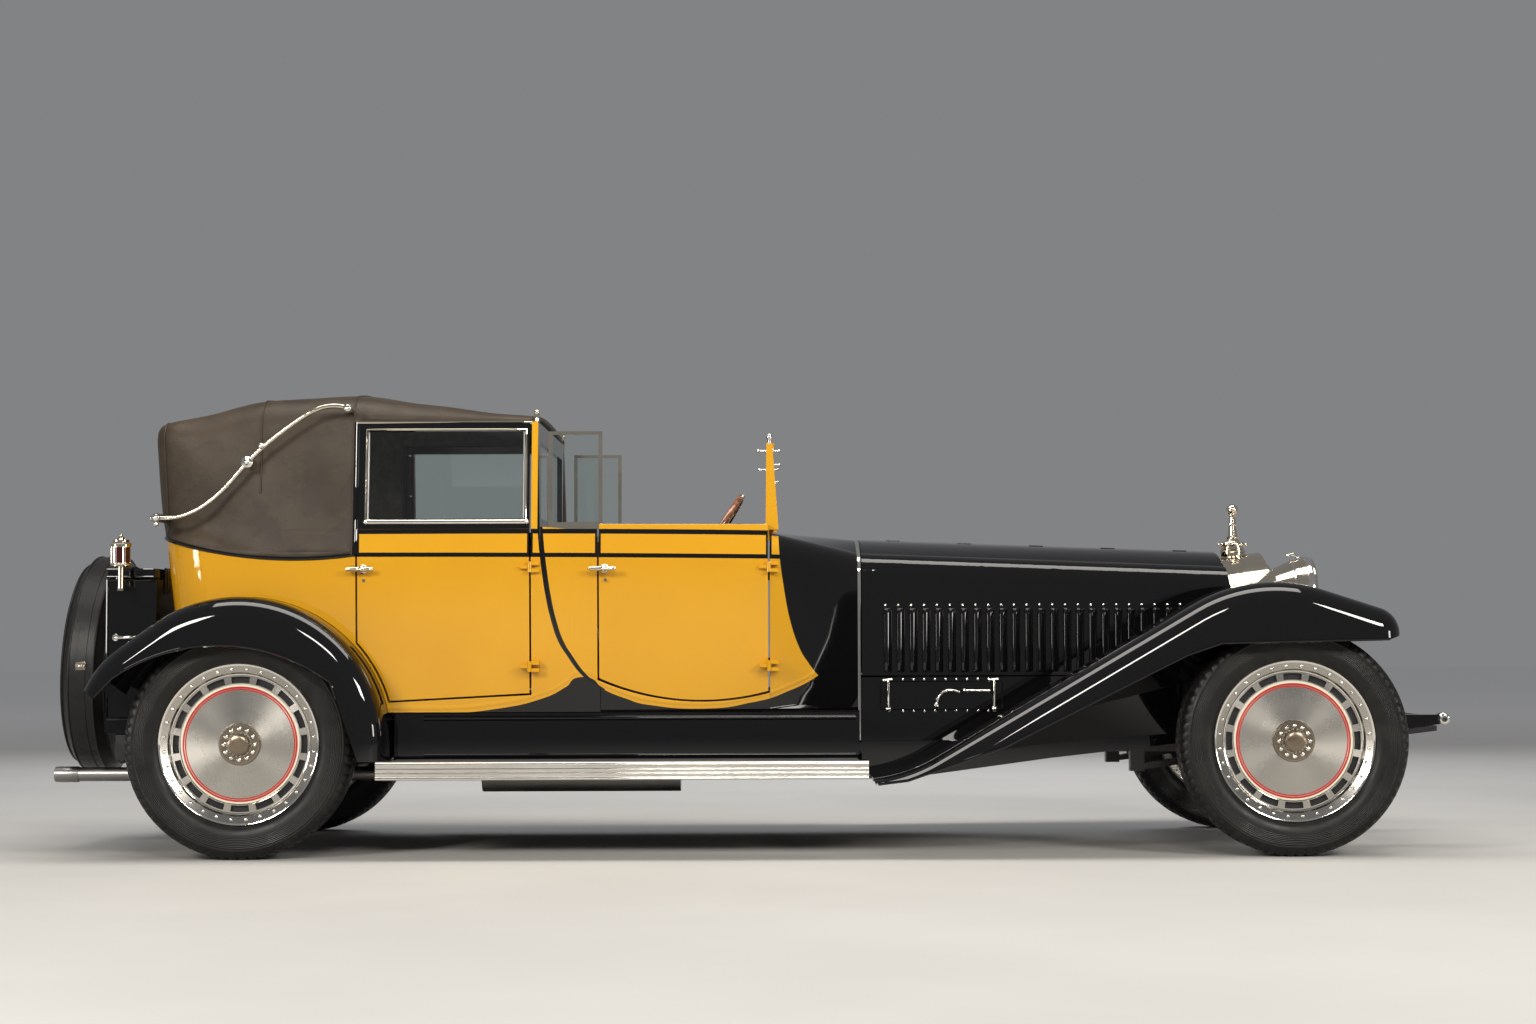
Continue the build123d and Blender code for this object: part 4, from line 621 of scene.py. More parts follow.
def laid(tree, path, side, lift, step):
    """A side view path laid on the skin, in short steps."""
    places = stepped(path, lambda length: max(1, int(length / step)))
    found = [on_side(tree, x, z, side, lift) for x, z in places]
    return [p for p in found if p is not None]


# Bevels on the sharp CAD edges, and smooth shading

SOFT_EDGES = (
    "trunk trunk_lid running_boards front_body rear_body front_door_left front_door_right rear_door_left "
    "rear_door_right cowl bonnet_left bonnet_right front_fenders rear_fenders radiator_shell headlamps"
)
for obj in nodes.values():
    smoothed(obj.data, 24)
for name in SOFT_EDGES.split():
    bevelled(nodes[name], 2.5, 40)

# Leather top

BODY_HALF = 760
TOP_END = -2432
TOP_FRONT = -1578
ROOF_FRONT = -838
ROOF_BASE = 1797
SIDE_LEAN = 46
SECTION_FOOT = 1200
CORNER_STEPS = 10
CROWN_STEPS = 12
SIDE_ROWS = 22
ROOF_ROWS = 24
# x, inside the body's width, edge z, corner radius, crown
TOP_ROWS = (
    (-2432, 14, 1760, 60, 12), (-2414, 14, 1787, 72, 15), (-2385, 14, 1801, 95, 18),
    (-2224, 14, 1841, 130, 24), (-2017, 14, 1890, 140, 29), (-1624, 12, 1915, 140, 35),
    (-1231, 12, 1868, 110, 30), (-838, 14, 1822, 60, 22),
)
BOWS = (-2385, -1974, -1578, -1231, -838)
BOW_SAG = 5
BACK_BOW = -1974

# How the leather meets the body at its foot, stands out over the back bow and turns in at its end
SIDE_TOP = 1600
FOOT_PROUD = 5
FOOT_REACH = 45
CREASES_FROM = -2000
BOW_FRONT = -1700
BOW_FOOT = 1640
BOW_PROUD = 5
BOW_SPREAD = 55
END_FROM = -2400
END_MOST = -2413
END_REACH = 60

# Round back corners in plan: the body's, and the leather's, which grow below BACK_TOP
BACK_X = -2150
BACK_RADIUS = 260
BACK_HALF = 497
BACK_TOP = 1764
CORNER_LEAST = 90
CORNER_LONG = 470
CORNER_DEEP = 255


def along(rows, x):
    """Row of a table at x, on smooth curves through its columns."""
    k = max(i for i in range(len(rows) - 1) if rows[i][0] <= x or i == 0)
    a, b = rows[k], rows[k + 1]
    before, after = rows[max(k - 1, 0)], rows[min(k + 2, len(rows) - 1)]
    span = b[0] - a[0]
    t = (x - a[0]) / span
    out = []
    for c in range(1, len(a)):
        m0 = (b[c] - before[c]) / (b[0] - before[0])
        m1 = (after[c] - a[c]) / (after[0] - a[0])
        out.append(
            (2 * t**3 - 3 * t**2 + 1) * a[c] + (t**3 - 2 * t**2 + t) * span * m0
            + (3 * t**2 - 2 * t**3) * b[c] + (t**3 - t**2) * span * m1
        )
    return out


def circle(a, b, c):
    """Centre and radius of the circle through three points."""
    (ax, ay), (bx, by), (cx, cy) = a, b, c
    d = 2 * (ax * (by - cy) + bx * (cy - ay) + cx * (ay - by))
    ux = ((ax**2 + ay**2) * (by - cy) + (bx**2 + by**2) * (cy - ay) + (cx**2 + cy**2) * (ay - by)) / d
    uy = ((ax**2 + ay**2) * (cx - bx) + (bx**2 + by**2) * (ax - cx) + (cx**2 + cy**2) * (bx - ax)) / d
    return ux, uy, math.hypot(ax - ux, ay - uy)


EDGE_X, EDGE_Z, EDGE_R = circle((-1578, 1243), (-2150, 1256), (-2470, 1345))


def leather_edge(x):
    """Height where the leather meets the body."""
    return EDGE_Z - math.sqrt(EDGE_R**2 - (x - EDGE_X) ** 2)


def body_side(x):
    """Half width of the painted body under the leather, in plan."""
    if x > BACK_X:
        return BACK_HALF + BACK_RADIUS
    return BACK_HALF + math.sqrt(max(0.0, BACK_RADIUS**2 - (x - BACK_X) ** 2))


def half_section(x):
    """Right half of a cross section of the top, from the foot to the middle, as (y, z)."""
    inside, edge, corner, crown = along(TOP_ROWS, x)
    k = max(i for i in range(len(BOWS) - 1) if BOWS[i] <= x or i == 0)
    share = max(0.0, (x - BOWS[k]) / (BOWS[k + 1] - BOWS[k]))
    edge -= BOW_SAG * math.sin(math.pi * share) ** 2
    high = BODY_HALF - inside - SIDE_LEAN
    points = [(BODY_HALF - inside, SECTION_FOOT), (high, edge - corner)]
    for t in between(0, math.pi / 2, CORNER_STEPS + 1)[1:]:
        points.append((high - corner + corner * math.cos(t), edge - corner + corner * math.sin(t)))
    for share in between(0, 1, CROWN_STEPS + 1)[1:]:
        points.append(((high - corner) * (1 - share), edge + crown * (1 - (1 - share) ** 2)))
    return points


def walked(points, z_from, z_to, count):
    """Evenly spaced points of a rising line between two heights; no z_to means to its end."""
    pieces = list(zip(points, points[1:]))
    total = [0.0]
    for (y0, z0), (y1, z1) in pieces:
        total.append(total[-1] + math.hypot(y1 - y0, z1 - z0))

    def reach_of(z):
        for k, ((_, z0), (_, z1)) in enumerate(pieces):
            if z0 <= z <= z1:
                return total[k] + (z - z0) / max(z1 - z0, 1e-9) * (total[k + 1] - total[k])
        return total[-1]

    out = []
    for reach in between(reach_of(z_from), total[-1] if z_to is None else reach_of(z_to), count):
        k = next(i for i in range(len(pieces)) if reach <= total[i + 1] + 1e-6)
        share = (reach - total[k]) / max(total[k + 1] - total[k], 1e-9)
        (y0, z0), (y1, z1) = pieces[k]
        out.append((y0 + (y1 - y0) * share, z0 + (z1 - z0) * share))
    return out


def back_drop(x, z):
    """How far the rounded back corners draw the leather in at a place."""
    fall = BACK_TOP - min(z, BACK_TOP)
    long = min(CORNER_LONG, CORNER_LEAST + 0.9 * fall)
    deep = min(CORNER_DEEP, CORNER_LEAST + 0.4 * fall)
    t = clamp((TOP_END + long - x) / long)
    return deep * (0.8 * (1 - math.sqrt(1 - t * t)) + 0.2 * t)


def creases(x, z, above):
    """Shallow diagonal pulls in the leather of the side."""
    fade = min(1.0, above / 120) * min(1.0, (x - CREASES_FROM) / 150)
    return 1.6 * math.sin((0.55 * x - 0.8 * z) / 34) * fade


def top_column(x, whole=True):
    """Points of the leather at x from its lower edge to the middle of the roof, as (x, half width, z).

    The column starts at the roof's base where it isn't whole.
    """
    section = half_section(x)
    _, edge, corner, _ = along(TOP_ROWS, x)
    split = ROOF_BASE if x >= TOP_FRONT else min(ROOF_BASE, edge - 0.5 * corner)
    found = walked(section, split, None, ROOF_ROWS)
    if whole:
        found = walked(section, leather_edge(x), split, SIDE_ROWS)[:-1] + found
    high = section[1][0]
    out = []
    for y, z in found:
        drop = back_drop(x, z)
        wide = y - drop if y >= high else y * (1 - drop / high)
        if y >= high - 1 and z < SIDE_TOP:
            above = z - leather_edge(x)
            wide += (body_side(x) + FOOT_PROUD - wide) * math.exp(-max(0.0, above) / FOOT_REACH)
            if x > CREASES_FROM:
                wide += creases(x, z, above)
        if x < BOW_FRONT and y > 0.7 * high:
            ridge = BOW_PROUD * math.exp(-(((x - BACK_BOW) / BOW_SPREAD) ** 2))
            wide += ridge * clamp((z - BOW_FOOT) / 90)
        back = x
        if x < END_FROM:
            pull = math.exp(-max(0.0, z - leather_edge(TOP_END)) / END_REACH)
            back = x + (max(x, END_MOST) - x) * pull
        out.append((back, wide, z))
    return out


def arch(column, out=0.0, up=0.0):
    """A column of the top as a line from its right foot over the middle to its left foot."""
    right = [(x, -(w + out), z + up) for x, w, z in column]
    return right + [(x, -y, z) for x, y, z in right[-2::-1]]


ROOF_STATIONS = 28
BACK_COLUMNS = 24
BACK_BULGE = 9


def leather_mesh():
    """Points and faces of the top's sides, roof and back."""
    stations = [TOP_END + d for d in (0, 1.2, 3, 6, 10, 15, 21, 28, 36, 46, 58, 72, 88, 106)]
    while stations[-1] < TOP_FRONT - 21:
        stations.append(stations[-1] + 20)
    stations.append(TOP_FRONT)
    points = []
    grid = []
    for x in stations + between(TOP_FRONT, ROOF_FRONT, ROOF_STATIONS + 1)[1:]:
        line = arch(top_column(x, x <= TOP_FRONT))
        grid.append(list(range(len(points), len(points) + len(line))))
        points.extend(line)
    faces = []
    extra = SIDE_ROWS - 1
    for a, b in zip(grid, grid[1:]):
        if len(a) != len(b):
            a = a[extra:len(a) - extra]
        faces += [(a[j], a[j + 1], b[j + 1], b[j]) for j in range(len(a) - 1)]
    ends = grid[0]
    half = len(ends) // 2
    rows = []
    for j in range(half):
        right, left = points[ends[j]], points[ends[-1 - j]]
        row = [ends[j]]
        for u in between(-1, 1, BACK_COLUMNS + 1)[1:-1]:
            bulge = BACK_BULGE * (1 - u * u) * min(1.0, left[1] / 300)
            row.append(len(points))
            points.append((right[0] - bulge, left[1] * u, right[2]))
        rows.append(row + [ends[-1 - j]])
    for a, b in zip(rows, rows[1:]):
        faces += [(a[c], a[c + 1], b[c + 1], b[c]) for c in range(BACK_COLUMNS)]
    faces += [(rows[-1][c], rows[-1][c + 1], ends[half]) for c in range(BACK_COLUMNS)]
    return points, faces


leather_top = Shape().add(*leather_mesh()).make("leather_top", TOP_LEATHER, angle=60)
bm = bmesh.new()
bm.from_mesh(leather_top.data)
bmesh.ops.recalc_face_normals(bm, faces=bm.faces)
if max(bm.faces, key=lambda f: f.calc_center_median().z).normal.z < 0:
    bmesh.ops.reverse_faces(bm, faces=bm.faces)
bm.to_mesh(leather_top.data)
bm.free()
leather_top.data.materials.append(LINING)
thick = leather_top.modifiers.new("thickness", "SOLIDIFY")
thick.thickness = 0.005
thick.offset = -1
thick.material_offset = 1
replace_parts(leather_top, "landau_top")


def edge_path(side):
    """Line of the leather's lower edge on one side, from the front to the middle of the back."""
    proud = 3
    path = []
    for x in [*range(TOP_FRONT, -2400, -20), -2404, -2408]:
        path.append((x, side * (body_side(x) + proud), leather_edge(x)))
    z = leather_edge(-2410)
    return path + [(-2411 - proud, side * 480, z), (-2412 - proud, side * 300, z), (-2412 - proud, 0, z)]


welt = Shape().tube(edge_path(-1) + edge_path(1)[-2::-1], 8, 8, flat=0.8)
welt.make("leather_edge_moulding", BLACK_GLOSS)

# Welts over the bows and at the back's edge
WELT_OUT = 1.5
WELT_UP = 0.5
welts = Shape()
for x, foot in ((BACK_BOW, 1500), (-1592, 0)):
    welts.tube(arch([(x, w, z) for _, w, z in top_column(x) if z > foot], WELT_OUT, WELT_UP), 4, 8)
corner_x = -2386
for side, _ in BOTH:
    column = [p for p in top_column(corner_x) if p[1] > 400 and p[2] > leather_edge(corner_x) + 4]
    welts.tube([(x, side * (w + WELT_OUT), z + WELT_UP) for x, w, z in column], 4, 8)
leather_welts = welts.make("leather_welts", TOP_LEATHER)

# Flap sewn on the lower front of each side
FLAP_COLUMNS = 12
FLAP_ROWS = 8


def flap_width(column, z):
    """Half width of a column of the top at a height."""
    pieces = zip(column, column[1:])
    return next(a[1] + (b[1] - a[1]) * (z - a[2]) / (b[2] - a[2]) for a, b in pieces if a[2] <= z <= b[2])


def flap_rows(side):
    """Points of the flap on one side, a little uneven and flush at its edge."""
    rows = []
    for i, x in enumerate(between(-1896, -1600, FLAP_COLUMNS + 1)):
        column = top_column(x)
        row = []
        for j, z in enumerate(between(1256, 1350, FLAP_ROWS + 1)):
            rim = 0.5 if i in (0, FLAP_COLUMNS) or j in (0, FLAP_ROWS) else 4.5 + 0.8 * math.sin(i * 1.7 + j)
            row.append((x, side * (flap_width(column, z) + rim), z))
        rows.append(row)
    return rows


flap = Shape().skin(flap_rows(-1)).skin(flap_rows(1), flip=True)
leather_flap = flap.make("leather_flap", TOP_LEATHER, angle=80)

# Drip rails above the doors, and the strips at the leather's front edge
drip = Shape()
strips = Shape()
for side, _ in BOTH:
    places = between(TOP_FRONT, ROOF_FRONT, 20)
    drip.tube([(x, side * (top_column(x, False)[0][1] + 3), ROOF_BASE - 3) for x in places], 6, 8)
    column = [p for p in top_column(TOP_FRONT - 2) if p[2] < 1800]
    strips.tube([(TOP_FRONT + 2, side * (w + 1), z) for _, w, z in column], 12, 8, flat=0.35)
drip.make("drip_rails", NICKEL)
strips.make("leather_front_strips", BLACK_GLOSS)

# Tyres with a cut tread and moulded shoulders: radius and half width
TYRE_PROFILE = [
    (306, 54), (318, 60), (330, 67), (338, 76), (350, 83), (365, 87.5), (380, 89.5), (395, 90), (410, 89.5),
    (424, 88.5), (426, 90), (432, 90), (434, 88), (442, 86), (449, 83), (454, 80), (458, 76), (461.5, 71),
    (464, 66), (466, 60), (467.2, 54), *((468, wide) for wide in (49, 44, 38, 33, 28, 22, 17, 11, 5, 0)),
]
TREAD_STEPS = 432
PITCH = 6
GROOVES = (8, 35)
GROOVE_DEEP = 7
GROOVE_HALF = 6.5
LUG_DEEP = 6


def tread_depth(step, radius, wide):
    """Depth of the zigzag grooves and of the gaps between the shoulder lugs."""
    depth = 0.0
    zig = 5 * (1 - abs(step % PITCH - 3) / 1.5)
    away = abs(wide)
    if away < 60:
        for groove in GROOVES:
            gap = abs(away - groove - (zig if wide > 0 else -zig) * 0.5)
            depth = max(depth, GROOVE_DEEP * clamp((GROOVE_HALF - gap) / 2.5))
    if 50 <= away <= 84 and radius > 440 and (step + (3 if wide < 0 else 0)) % PITCH in (0, 1):
        depth = max(depth, LUG_DEEP)
    return depth


def tyre_rows(x, side):
    """Points of a tyre about its wheel's place, one row for each step round it."""
    rows = []
    for i, turn in enumerate(around(TREAD_STEPS)):
        row = []
        for radius, wide in TYRE_PROFILE + [(r, -w) for r, w in TYRE_PROFILE[-2::-1]]:
            r = radius - tread_depth(i, radius, wide)
            row.append((x + r * math.sin(turn), side * (WHEEL_Y + wide), AXLE_Z + r * math.cos(turn)))
        rows.append(row)
    return rows


ENDS = (("front", FRONT_X), ("rear", REAR_X))
WHEELS = [(x, side, f"{end}_{hand}") for end, x in ENDS for side, hand in BOTH]
for x, side, name in WHEELS:
    tyre = Shape().skin(tyre_rows(x, side), True, flip=side > 0)
    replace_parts(tyre.make(f"moulded_tyre_{name}", TYRE, body_name(f"tyre_{name}"), angle=40), f"tyre_{name}")

# Padded seats

VOXEL = 0.0115
SWELL_LIMIT = 0.016
SWELL_FRAMES = 20
PAD_CELLS = 34
ROUNDNESS = 7
START_SHARE = 0.975
EDGE_SHARE, CROWN_SHARE = 0.82, 0.34
SEAM_DEEP = 0.16
ENDS_PULLED, SIDES_PULLED = 0.03, 0.015
CLOTH_SETTINGS = {
    "quality": 5, "mass": 0.3, "tension_stiffness": 25, "compression_stiffness": 25, "bending_stiffness": 0.8,
    "use_pressure": True, "uniform_pressure_force": 4, "vertex_group_mass": "held",
}
pads = []


def cube_skin(n):
    """Points and faces of a cube's surface from -1 to 1, with n cells along each edge."""
    points = {}
    faces = []
    steps = between(-1, 1, n + 1)
    for axis in range(3):
        for end in (-1, 1):
            for i in range(n):
                for j in range(n):
                    corners = []
                    for a, b in ((i, j), (i + 1, j), (i + 1, j + 1), (i, j + 1)):
                        p = [0.0, 0.0, 0.0]
                        p[axis] = end
                        p[(axis + 1) % 3] = steps[a]
                        p[(axis + 2) % 3] = steps[b]
                        corners.append(points.setdefault(tuple(round(c, 4) for c in p), len(points)))
                    faces.append(corners if end > 0 else corners[::-1])
    return list(points), faces


def pad(name, material, centre, size, pitch, channels, fill):
    """Cushion with rounded corners, pulled in sides, a crowned face and sewn channels.

    size is length, width and thickness; pitch turns it about Y; the crowned face is up before that.
    """
    turn = math.radians(pitch)
    half = [START_SHARE * s / 2 for s in size]

    def groove(y):
        return abs(math.cos(math.pi * channels * (y + 1) / 2))

    def placed(p):
        """A point of the cube as a drawn point of the cushion."""
        size_of = sum(abs(c) ** ROUNDNESS for c in p) ** (1 / ROUNDNESS)
        x, y, z = (c / size_of for c in p)
        if z > 0:
            z *= EDGE_SHARE + CROWN_SHARE * (1 - x * x) * (1 - y * y)
            z -= SEAM_DEEP * z * groove(y) ** 10 * min(1.0, 3 * (1 - abs(x)))
        x *= 1 - ENDS_PULLED * (1 - y * y) * fill
        y *= 1 - SIDES_PULLED * (1 - x * x) * fill
        px, py, pz = x * half[0], y * half[1], z * half[2]
        ahead = px * math.cos(turn) + pz * math.sin(turn)
        up = pz * math.cos(turn) - px * math.sin(turn)
        return (centre[0] + ahead, centre[1] + py, centre[2] + up)

    def held(place):
        """Whether the sewing or the base holds a point of the cover."""
        dx, dy, dz = (place - at(*centre)) * 1000
        x = (dx * math.cos(turn) - dz * math.sin(turn)) / half[0]
        y = dy / half[1]
        z = (dx * math.sin(turn) + dz * math.cos(turn)) / half[2]
        sewn = z > 0.2 and abs(x) < 0.9 and abs(y) < 0.97 and groove(y) > 0.985
        return sewn or z < -0.6

    points, faces = cube_skin(PAD_CELLS)
    made = Shape().add([placed(p) for p in points], faces).make(name, material, angle=50)
    pads.append((made, held))


def even_cover(obj):
    """Give a cushion an even mesh, as the simulation needs."""
    even = obj.modifiers.new("even", "REMESH")
    even.mode = "VOXEL"
    even.voxel_size = VOXEL
    mesh = bpy.data.meshes.new_from_object(obj.evaluated_get(bpy.context.evaluated_depsgraph_get()))
    obj.modifiers.clear()
    obj.data = mesh
    for polygon in mesh.polygons:
        polygon.use_smooth = True
    return mesh


def swell():
    """Cloth simulation: the covers fill under pressure between what holds them, then stay as they are."""
    starts = []
    for obj, held in pads:
        mesh = even_cover(obj)
        group = obj.vertex_groups.new(name="held")
        group.add([v.index for v in mesh.vertices if held(v.co)], 1.0, "REPLACE")
        starts.append([v.co.copy() for v in mesh.vertices])
        cover = obj.modifiers.new("cloth", "CLOTH")
        for key, value in CLOTH_SETTINGS.items():
            setattr(cover.settings, key, value)
        cover.settings.effector_weights.gravity = 0.0
        cover.point_cache.frame_start = 1
        cover.point_cache.frame_end = SWELL_FRAMES
    for moment in range(1, SWELL_FRAMES + 1):
        bpy.context.scene.frame_set(moment)
    graph = bpy.context.evaluated_depsgraph_get()
    ends = [[v.co.copy() for v in obj.evaluated_get(graph).data.vertices] for obj, _ in pads]
    for (obj, _), start, end in zip(pads, starts, ends):
        obj.modifiers.clear()
        obj.vertex_groups.clear()
        for vertex, before, after in zip(obj.data.vertices, start, end):
            move = after - before
            if move.length > SWELL_LIMIT:
                move *= SWELL_LIMIT / move.length
            vertex.co = before + move
        smooth = obj.modifiers.new("smooth", "SUBSURF")
        smooth.levels = 1
        smooth.render_levels = 1
    bpy.context.scene.frame_set(1)


for name, material, corners in (
    ("front_seat", FRONT_LEATHER, (-776, -272, -548, 548, 618, 800)),
    ("rear_seat", SEAT_LEATHER, (-2296, -1698, -592, 592, 703, 850)),
):
    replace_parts(Shape().box(*corners).make(f"{name}_base", material, bevel=14), name)
for side, hand in BOTH:
    pad(f"front_seat_cushion_{hand}", FRONT_LEATHER, (-500, side * 276, 866), (520, 536, 135), -3, 6, 0.8)
    pad(f"front_seat_back_{hand}", FRONT_LEATHER, (-722, side * 276, 1118), (430, 536, 95), 99, 6, 0.8)
pad("rear_seat_cushion", SEAT_LEATHER, (-1960, 0, 918), (580, 1170, 160), -4, 10, 0.9)
pad("rear_seat_back", SEAT_LEATHER, (-2200, 0, 1212), (470, 1170, 130), 103, 10, 0.9)
if pads:
    swell()

# Bright trim of the body

BODY_NODES = "rear_body front_body cowl rear_door_left rear_door_right front_door_left front_door_right"
body_skin = seen_surface(*BODY_NODES.split())
HANDLE_Z = 1182
HANDLE_PLATE = [(0, -4), (19, -4), (19, 2), (16, 5), (12, 7), (10.6, 11), (10.6, 34), (0, 34)]
HANDLE_BOSS = [(0, -15), (12, -14), (14.5, -6), (14.5, 4), (11, 11), (6, 15), (0, 16)]
LEVER_REACH = (-68, -64, -52, -30, -12, 0, 12, 28, 42, 48, 51)
LEVER_RADII = [2, 7, 9.2, 9.4, 11, 12.5, 11, 9.4, 9.4, 7, 2]
WINDOW = (-1533, -877, 1388, 1759)
RAIL_Z = 1377


def door_handle(which, door_end, side, hand):
    """Lever on its plate and boss near a door's rear end, with the lock below it."""
    x = door_end + 27
    y = side * (BODY_HALF + 32)
    way = (0, side, 0)
    handle = Shape().turned(HANDLE_PLATE, (x, side * (BODY_HALF - 3), HANDLE_Z), way, 28)
    handle.turned(HANDLE_BOSS, (x, y, HANDLE_Z), way, 28)
    handle.tube([(x + reach, y, HANDLE_Z) for reach in LEVER_REACH], LEVER_RADII, 16)
    handle.turned([(0, 0), (7, 0), (7, 3), (0, 3)], (x + 4, side * (BODY_HALF - 8), HANDLE_Z - 46), way, 20)
    handle.make(f"{which}_door_handle_{hand}", NICKEL, body_name(f"{which}_door_{hand}"))


def window_trim(side, hand):
    """Rail under the rear door's window, the bead round it and the channels of its glass."""
    body = body_name(f"rear_door_{hand}")
    x0, x1, z0, z1 = WINDOW
    path = laid(body_skin, [(x0 - 2, RAIL_Z), (x1 + 8, RAIL_Z)], side, 3, 60)
    rail = Shape().tube(path, 9.5, 14, flat=0.8).ball(path[0], 10.5).ball(path[-1], 10.5)
    rail.make(f"window_rail_{hand}", BRIGHT, body)
    corners = [(x0 - 3, z0 - 3), (x0 - 3, z1 + 4), (x1 + 4, z1 + 4), (x1 + 4, z0 - 3), (x0 - 3, z0 - 3)]
    bead = Shape().tube(laid(body_skin, corners, side, 1, 45)[:-1], 4, 8, wrap=True)
    bead.make(f"window_bead_{hand}", NICKEL, body)
    foot, head = (on_side(body_skin, x0 - 12, z, side)[1] - side * 18 for z in (z0 - 10, z1 + 10))
    runs = Shape()
    for x in (x0 + 3, x1 - 5):
        runs.tube([(x, foot, z0), (x, head, z1)], 6, 8)
    runs.make(f"window_channels_{hand}", FORGED, body)


for side, hand in BOTH:
    door_handle("rear", -1572, side, hand)
    door_handle("front", -575, side, hand)
    window_trim(side, hand)
    top = [on_side(body_skin, x, 1355, side) for x in between(-565, 121, 11)]
    rail = Shape().tube([(x, y - side * 15, 1366) for x, y, _ in top], 4.5, 12, flat=3)
    rail.make(f"front_door_rail_{hand}", NICKEL, body_name(f"front_door_{hand}"))

# Brackets at the roof's front corners, and the header between them
front_column = top_column(ROOF_FRONT, False)
y = front_column[0][1] + 8
upright = [(-832, y - 3, 1770), (-832, y, 1800), (-833, y - 10, 1826), (-835, y - 48, 1838)]
bracket = Shape().tube(upright, [7, 11, 11, 7], 12)
bracket.tube([(-884, y - 1, 1791), (-832, y, 1791)], 7.5, 12).ball((-832, y, 1835), 12)
bracket.mirrored().make("roof_corner_brackets", NICKEL)
header = Shape().tube(arch([(ROOF_FRONT - 2, w, z) for _, w, z in front_column], up=-8), 11, 12)
header.make("roof_header", TOP_LEATHER)

# Small framed window in the back of the leather: half width, half height and middle height
BACK_WINDOW = (250, 72, 1590)


def window_line(x, wide_share=1.0, high_share=1.0):
    """Outline of the window at x, with round corners."""
    wide, high, middle = BACK_WINDOW
    line = []
    for t in around(48):
        across = math.copysign(abs(math.cos(t)) ** 0.4, math.cos(t))
        up = math.copysign(abs(math.sin(t)) ** 0.5, math.sin(t))
        line.append((x, wide * wide_share * across, middle + high * high_share * up))
    return line


Shape().tube(window_line(TOP_END - 8), 6, 8, wrap=True).make("back_window_frame", NICKEL)
# the pane is an opaque sheet on the leather, painted dark for the shade of the cabin behind a real window
pane = Shape().rings([window_line(TOP_END - out, 0.99, 0.98) for out in (9, 12)])
pane.make("back_window_pane", PAINTED_SHADE_PANE)

# Knobs and joint of the landau irons
IRON_Y = BODY_HALF + 14
KNOB = [(0, -30), (15, -30), (15, -20), (11, -16), (19, -8), (19.5, 0), (17, 8), (11, 14), (0, 17)]
ELBOW = [(0, -26), (20, -26), (20, -12), (24, -8), (24, 8), (20, 12), (13, 15), (9, 21), (0, 24)]
irons = Shape().turned(KNOB, (-2394, IRON_Y, 1398), LEFT, 24).turned(KNOB, (-1605, IRON_Y, 1848), LEFT, 24)
irons.turned(ELBOW, (-2020, IRON_Y, 1625), LEFT, 28).ball((-2394, IRON_Y, 1372), 11)
irons.ball((-1962, IRON_Y + 4, 1692), 14).ball((-2410, IRON_Y - 2, 1398), 13)
irons.mirrored().make("landau_iron_knobs", BRIGHT)

# Bonnet: chrome hoop, centre strip, louvres and the hatch below

COWL_X = 519
NOSE_X = 2100
HALF_AT_ENDS = (400, 322)
TOP_AT_ENDS = (1322, 1264)
SHOULDER_DOWN = 66
SHOULDER_R = 90
HOOP_X = 511
HOOP_FOOT = 612


def tapered(ends, x):
    """A size at x that changes evenly from the cowl to the nose."""
    return ends[0] + (x - COWL_X) / (NOSE_X - COWL_X) * (ends[1] - ends[0])


def bonnet_half(x):
    """Half width of the bonnet at x."""
    return tapered(HALF_AT_ENDS, x)


def bonnet_top(x):
    """Height of the bonnet's middle at x."""
    return tapered(TOP_AT_ENDS, x)


def hoop_line(x, lift):
    """Section of the bonnet at x, from the right foot over the top to the left foot."""
    half = bonnet_half(x) + lift
    top = bonnet_top(x) + lift
    shoulder = top - SHOULDER_DOWN
    low = shoulder - SHOULDER_R
    inner = half - SHOULDER_R
    right = [(-half, HOOP_FOOT), (-half, (HOOP_FOOT + low) / 2), (-half, low)]
    for t in between(0, math.pi / 2, 9)[1:]:
        right.append((-inner - SHOULDER_R * math.cos(t), low + SHOULDER_R * math.sin(t)))
    _, cz, radius = circle((-inner, shoulder), (0, top), (inner, shoulder))
    right += [(y, cz + math.sqrt(radius**2 - y * y)) for y in between(-inner, 0, 13)[1:-1]]
    return [(x, y, z) for y, z in right] + [(x, 0, top)] + [(x, -y, z) for y, z in reversed(right)]


hoop = Shape()
foot = Shape()
foot_y = bonnet_half(515) + 2
for x in (HOOP_X, HOOP_X + 6):
    hoop.tube(hoop_line(x, 1.5), 6)
    foot.tube([(x, foot_y, HOOP_FOOT), (x, foot_y, 460)], 6)
hoop.make("bonnet_hoop", BRIGHT)
foot.mirrored().make("side_panel_edge", BRIGHT)
strip = [(COWL_X + 3, 0, bonnet_top(COWL_X) + 1), (NOSE_X - 6, 0, bonnet_top(NOSE_X) + 1)]
Shape().tube(strip, 3, flat=2.4).make("bonnet_centre_strip", BRIGHT)

LOUVRE_X = between(COWL_X + 104, COWL_X + 104 + 0.8 * (NOSE_X - COWL_X), 24)
LOUVRE_Z = (756, 1010)
LOUVRE_END = 10
RIVET_Z = 1031
LOUVRE_LEVELS = [746, 747, 749, 752, *between(*LOUVRE_Z, 7), 1013, 1016, 1018.5, 1020]
LOUVRE_SECTION = (
    (-3, -2), (-3, 7), (-1, 12), (4, 13.5), (10, 12.5), (18, 8.5), (24, 4.5), (30, 0.5), (30, -2),
)
RIVET = [(0, -4), (6.5, -4), (6.5, 0), (5, 3.4), (2.6, 5), (0, 5.6)]


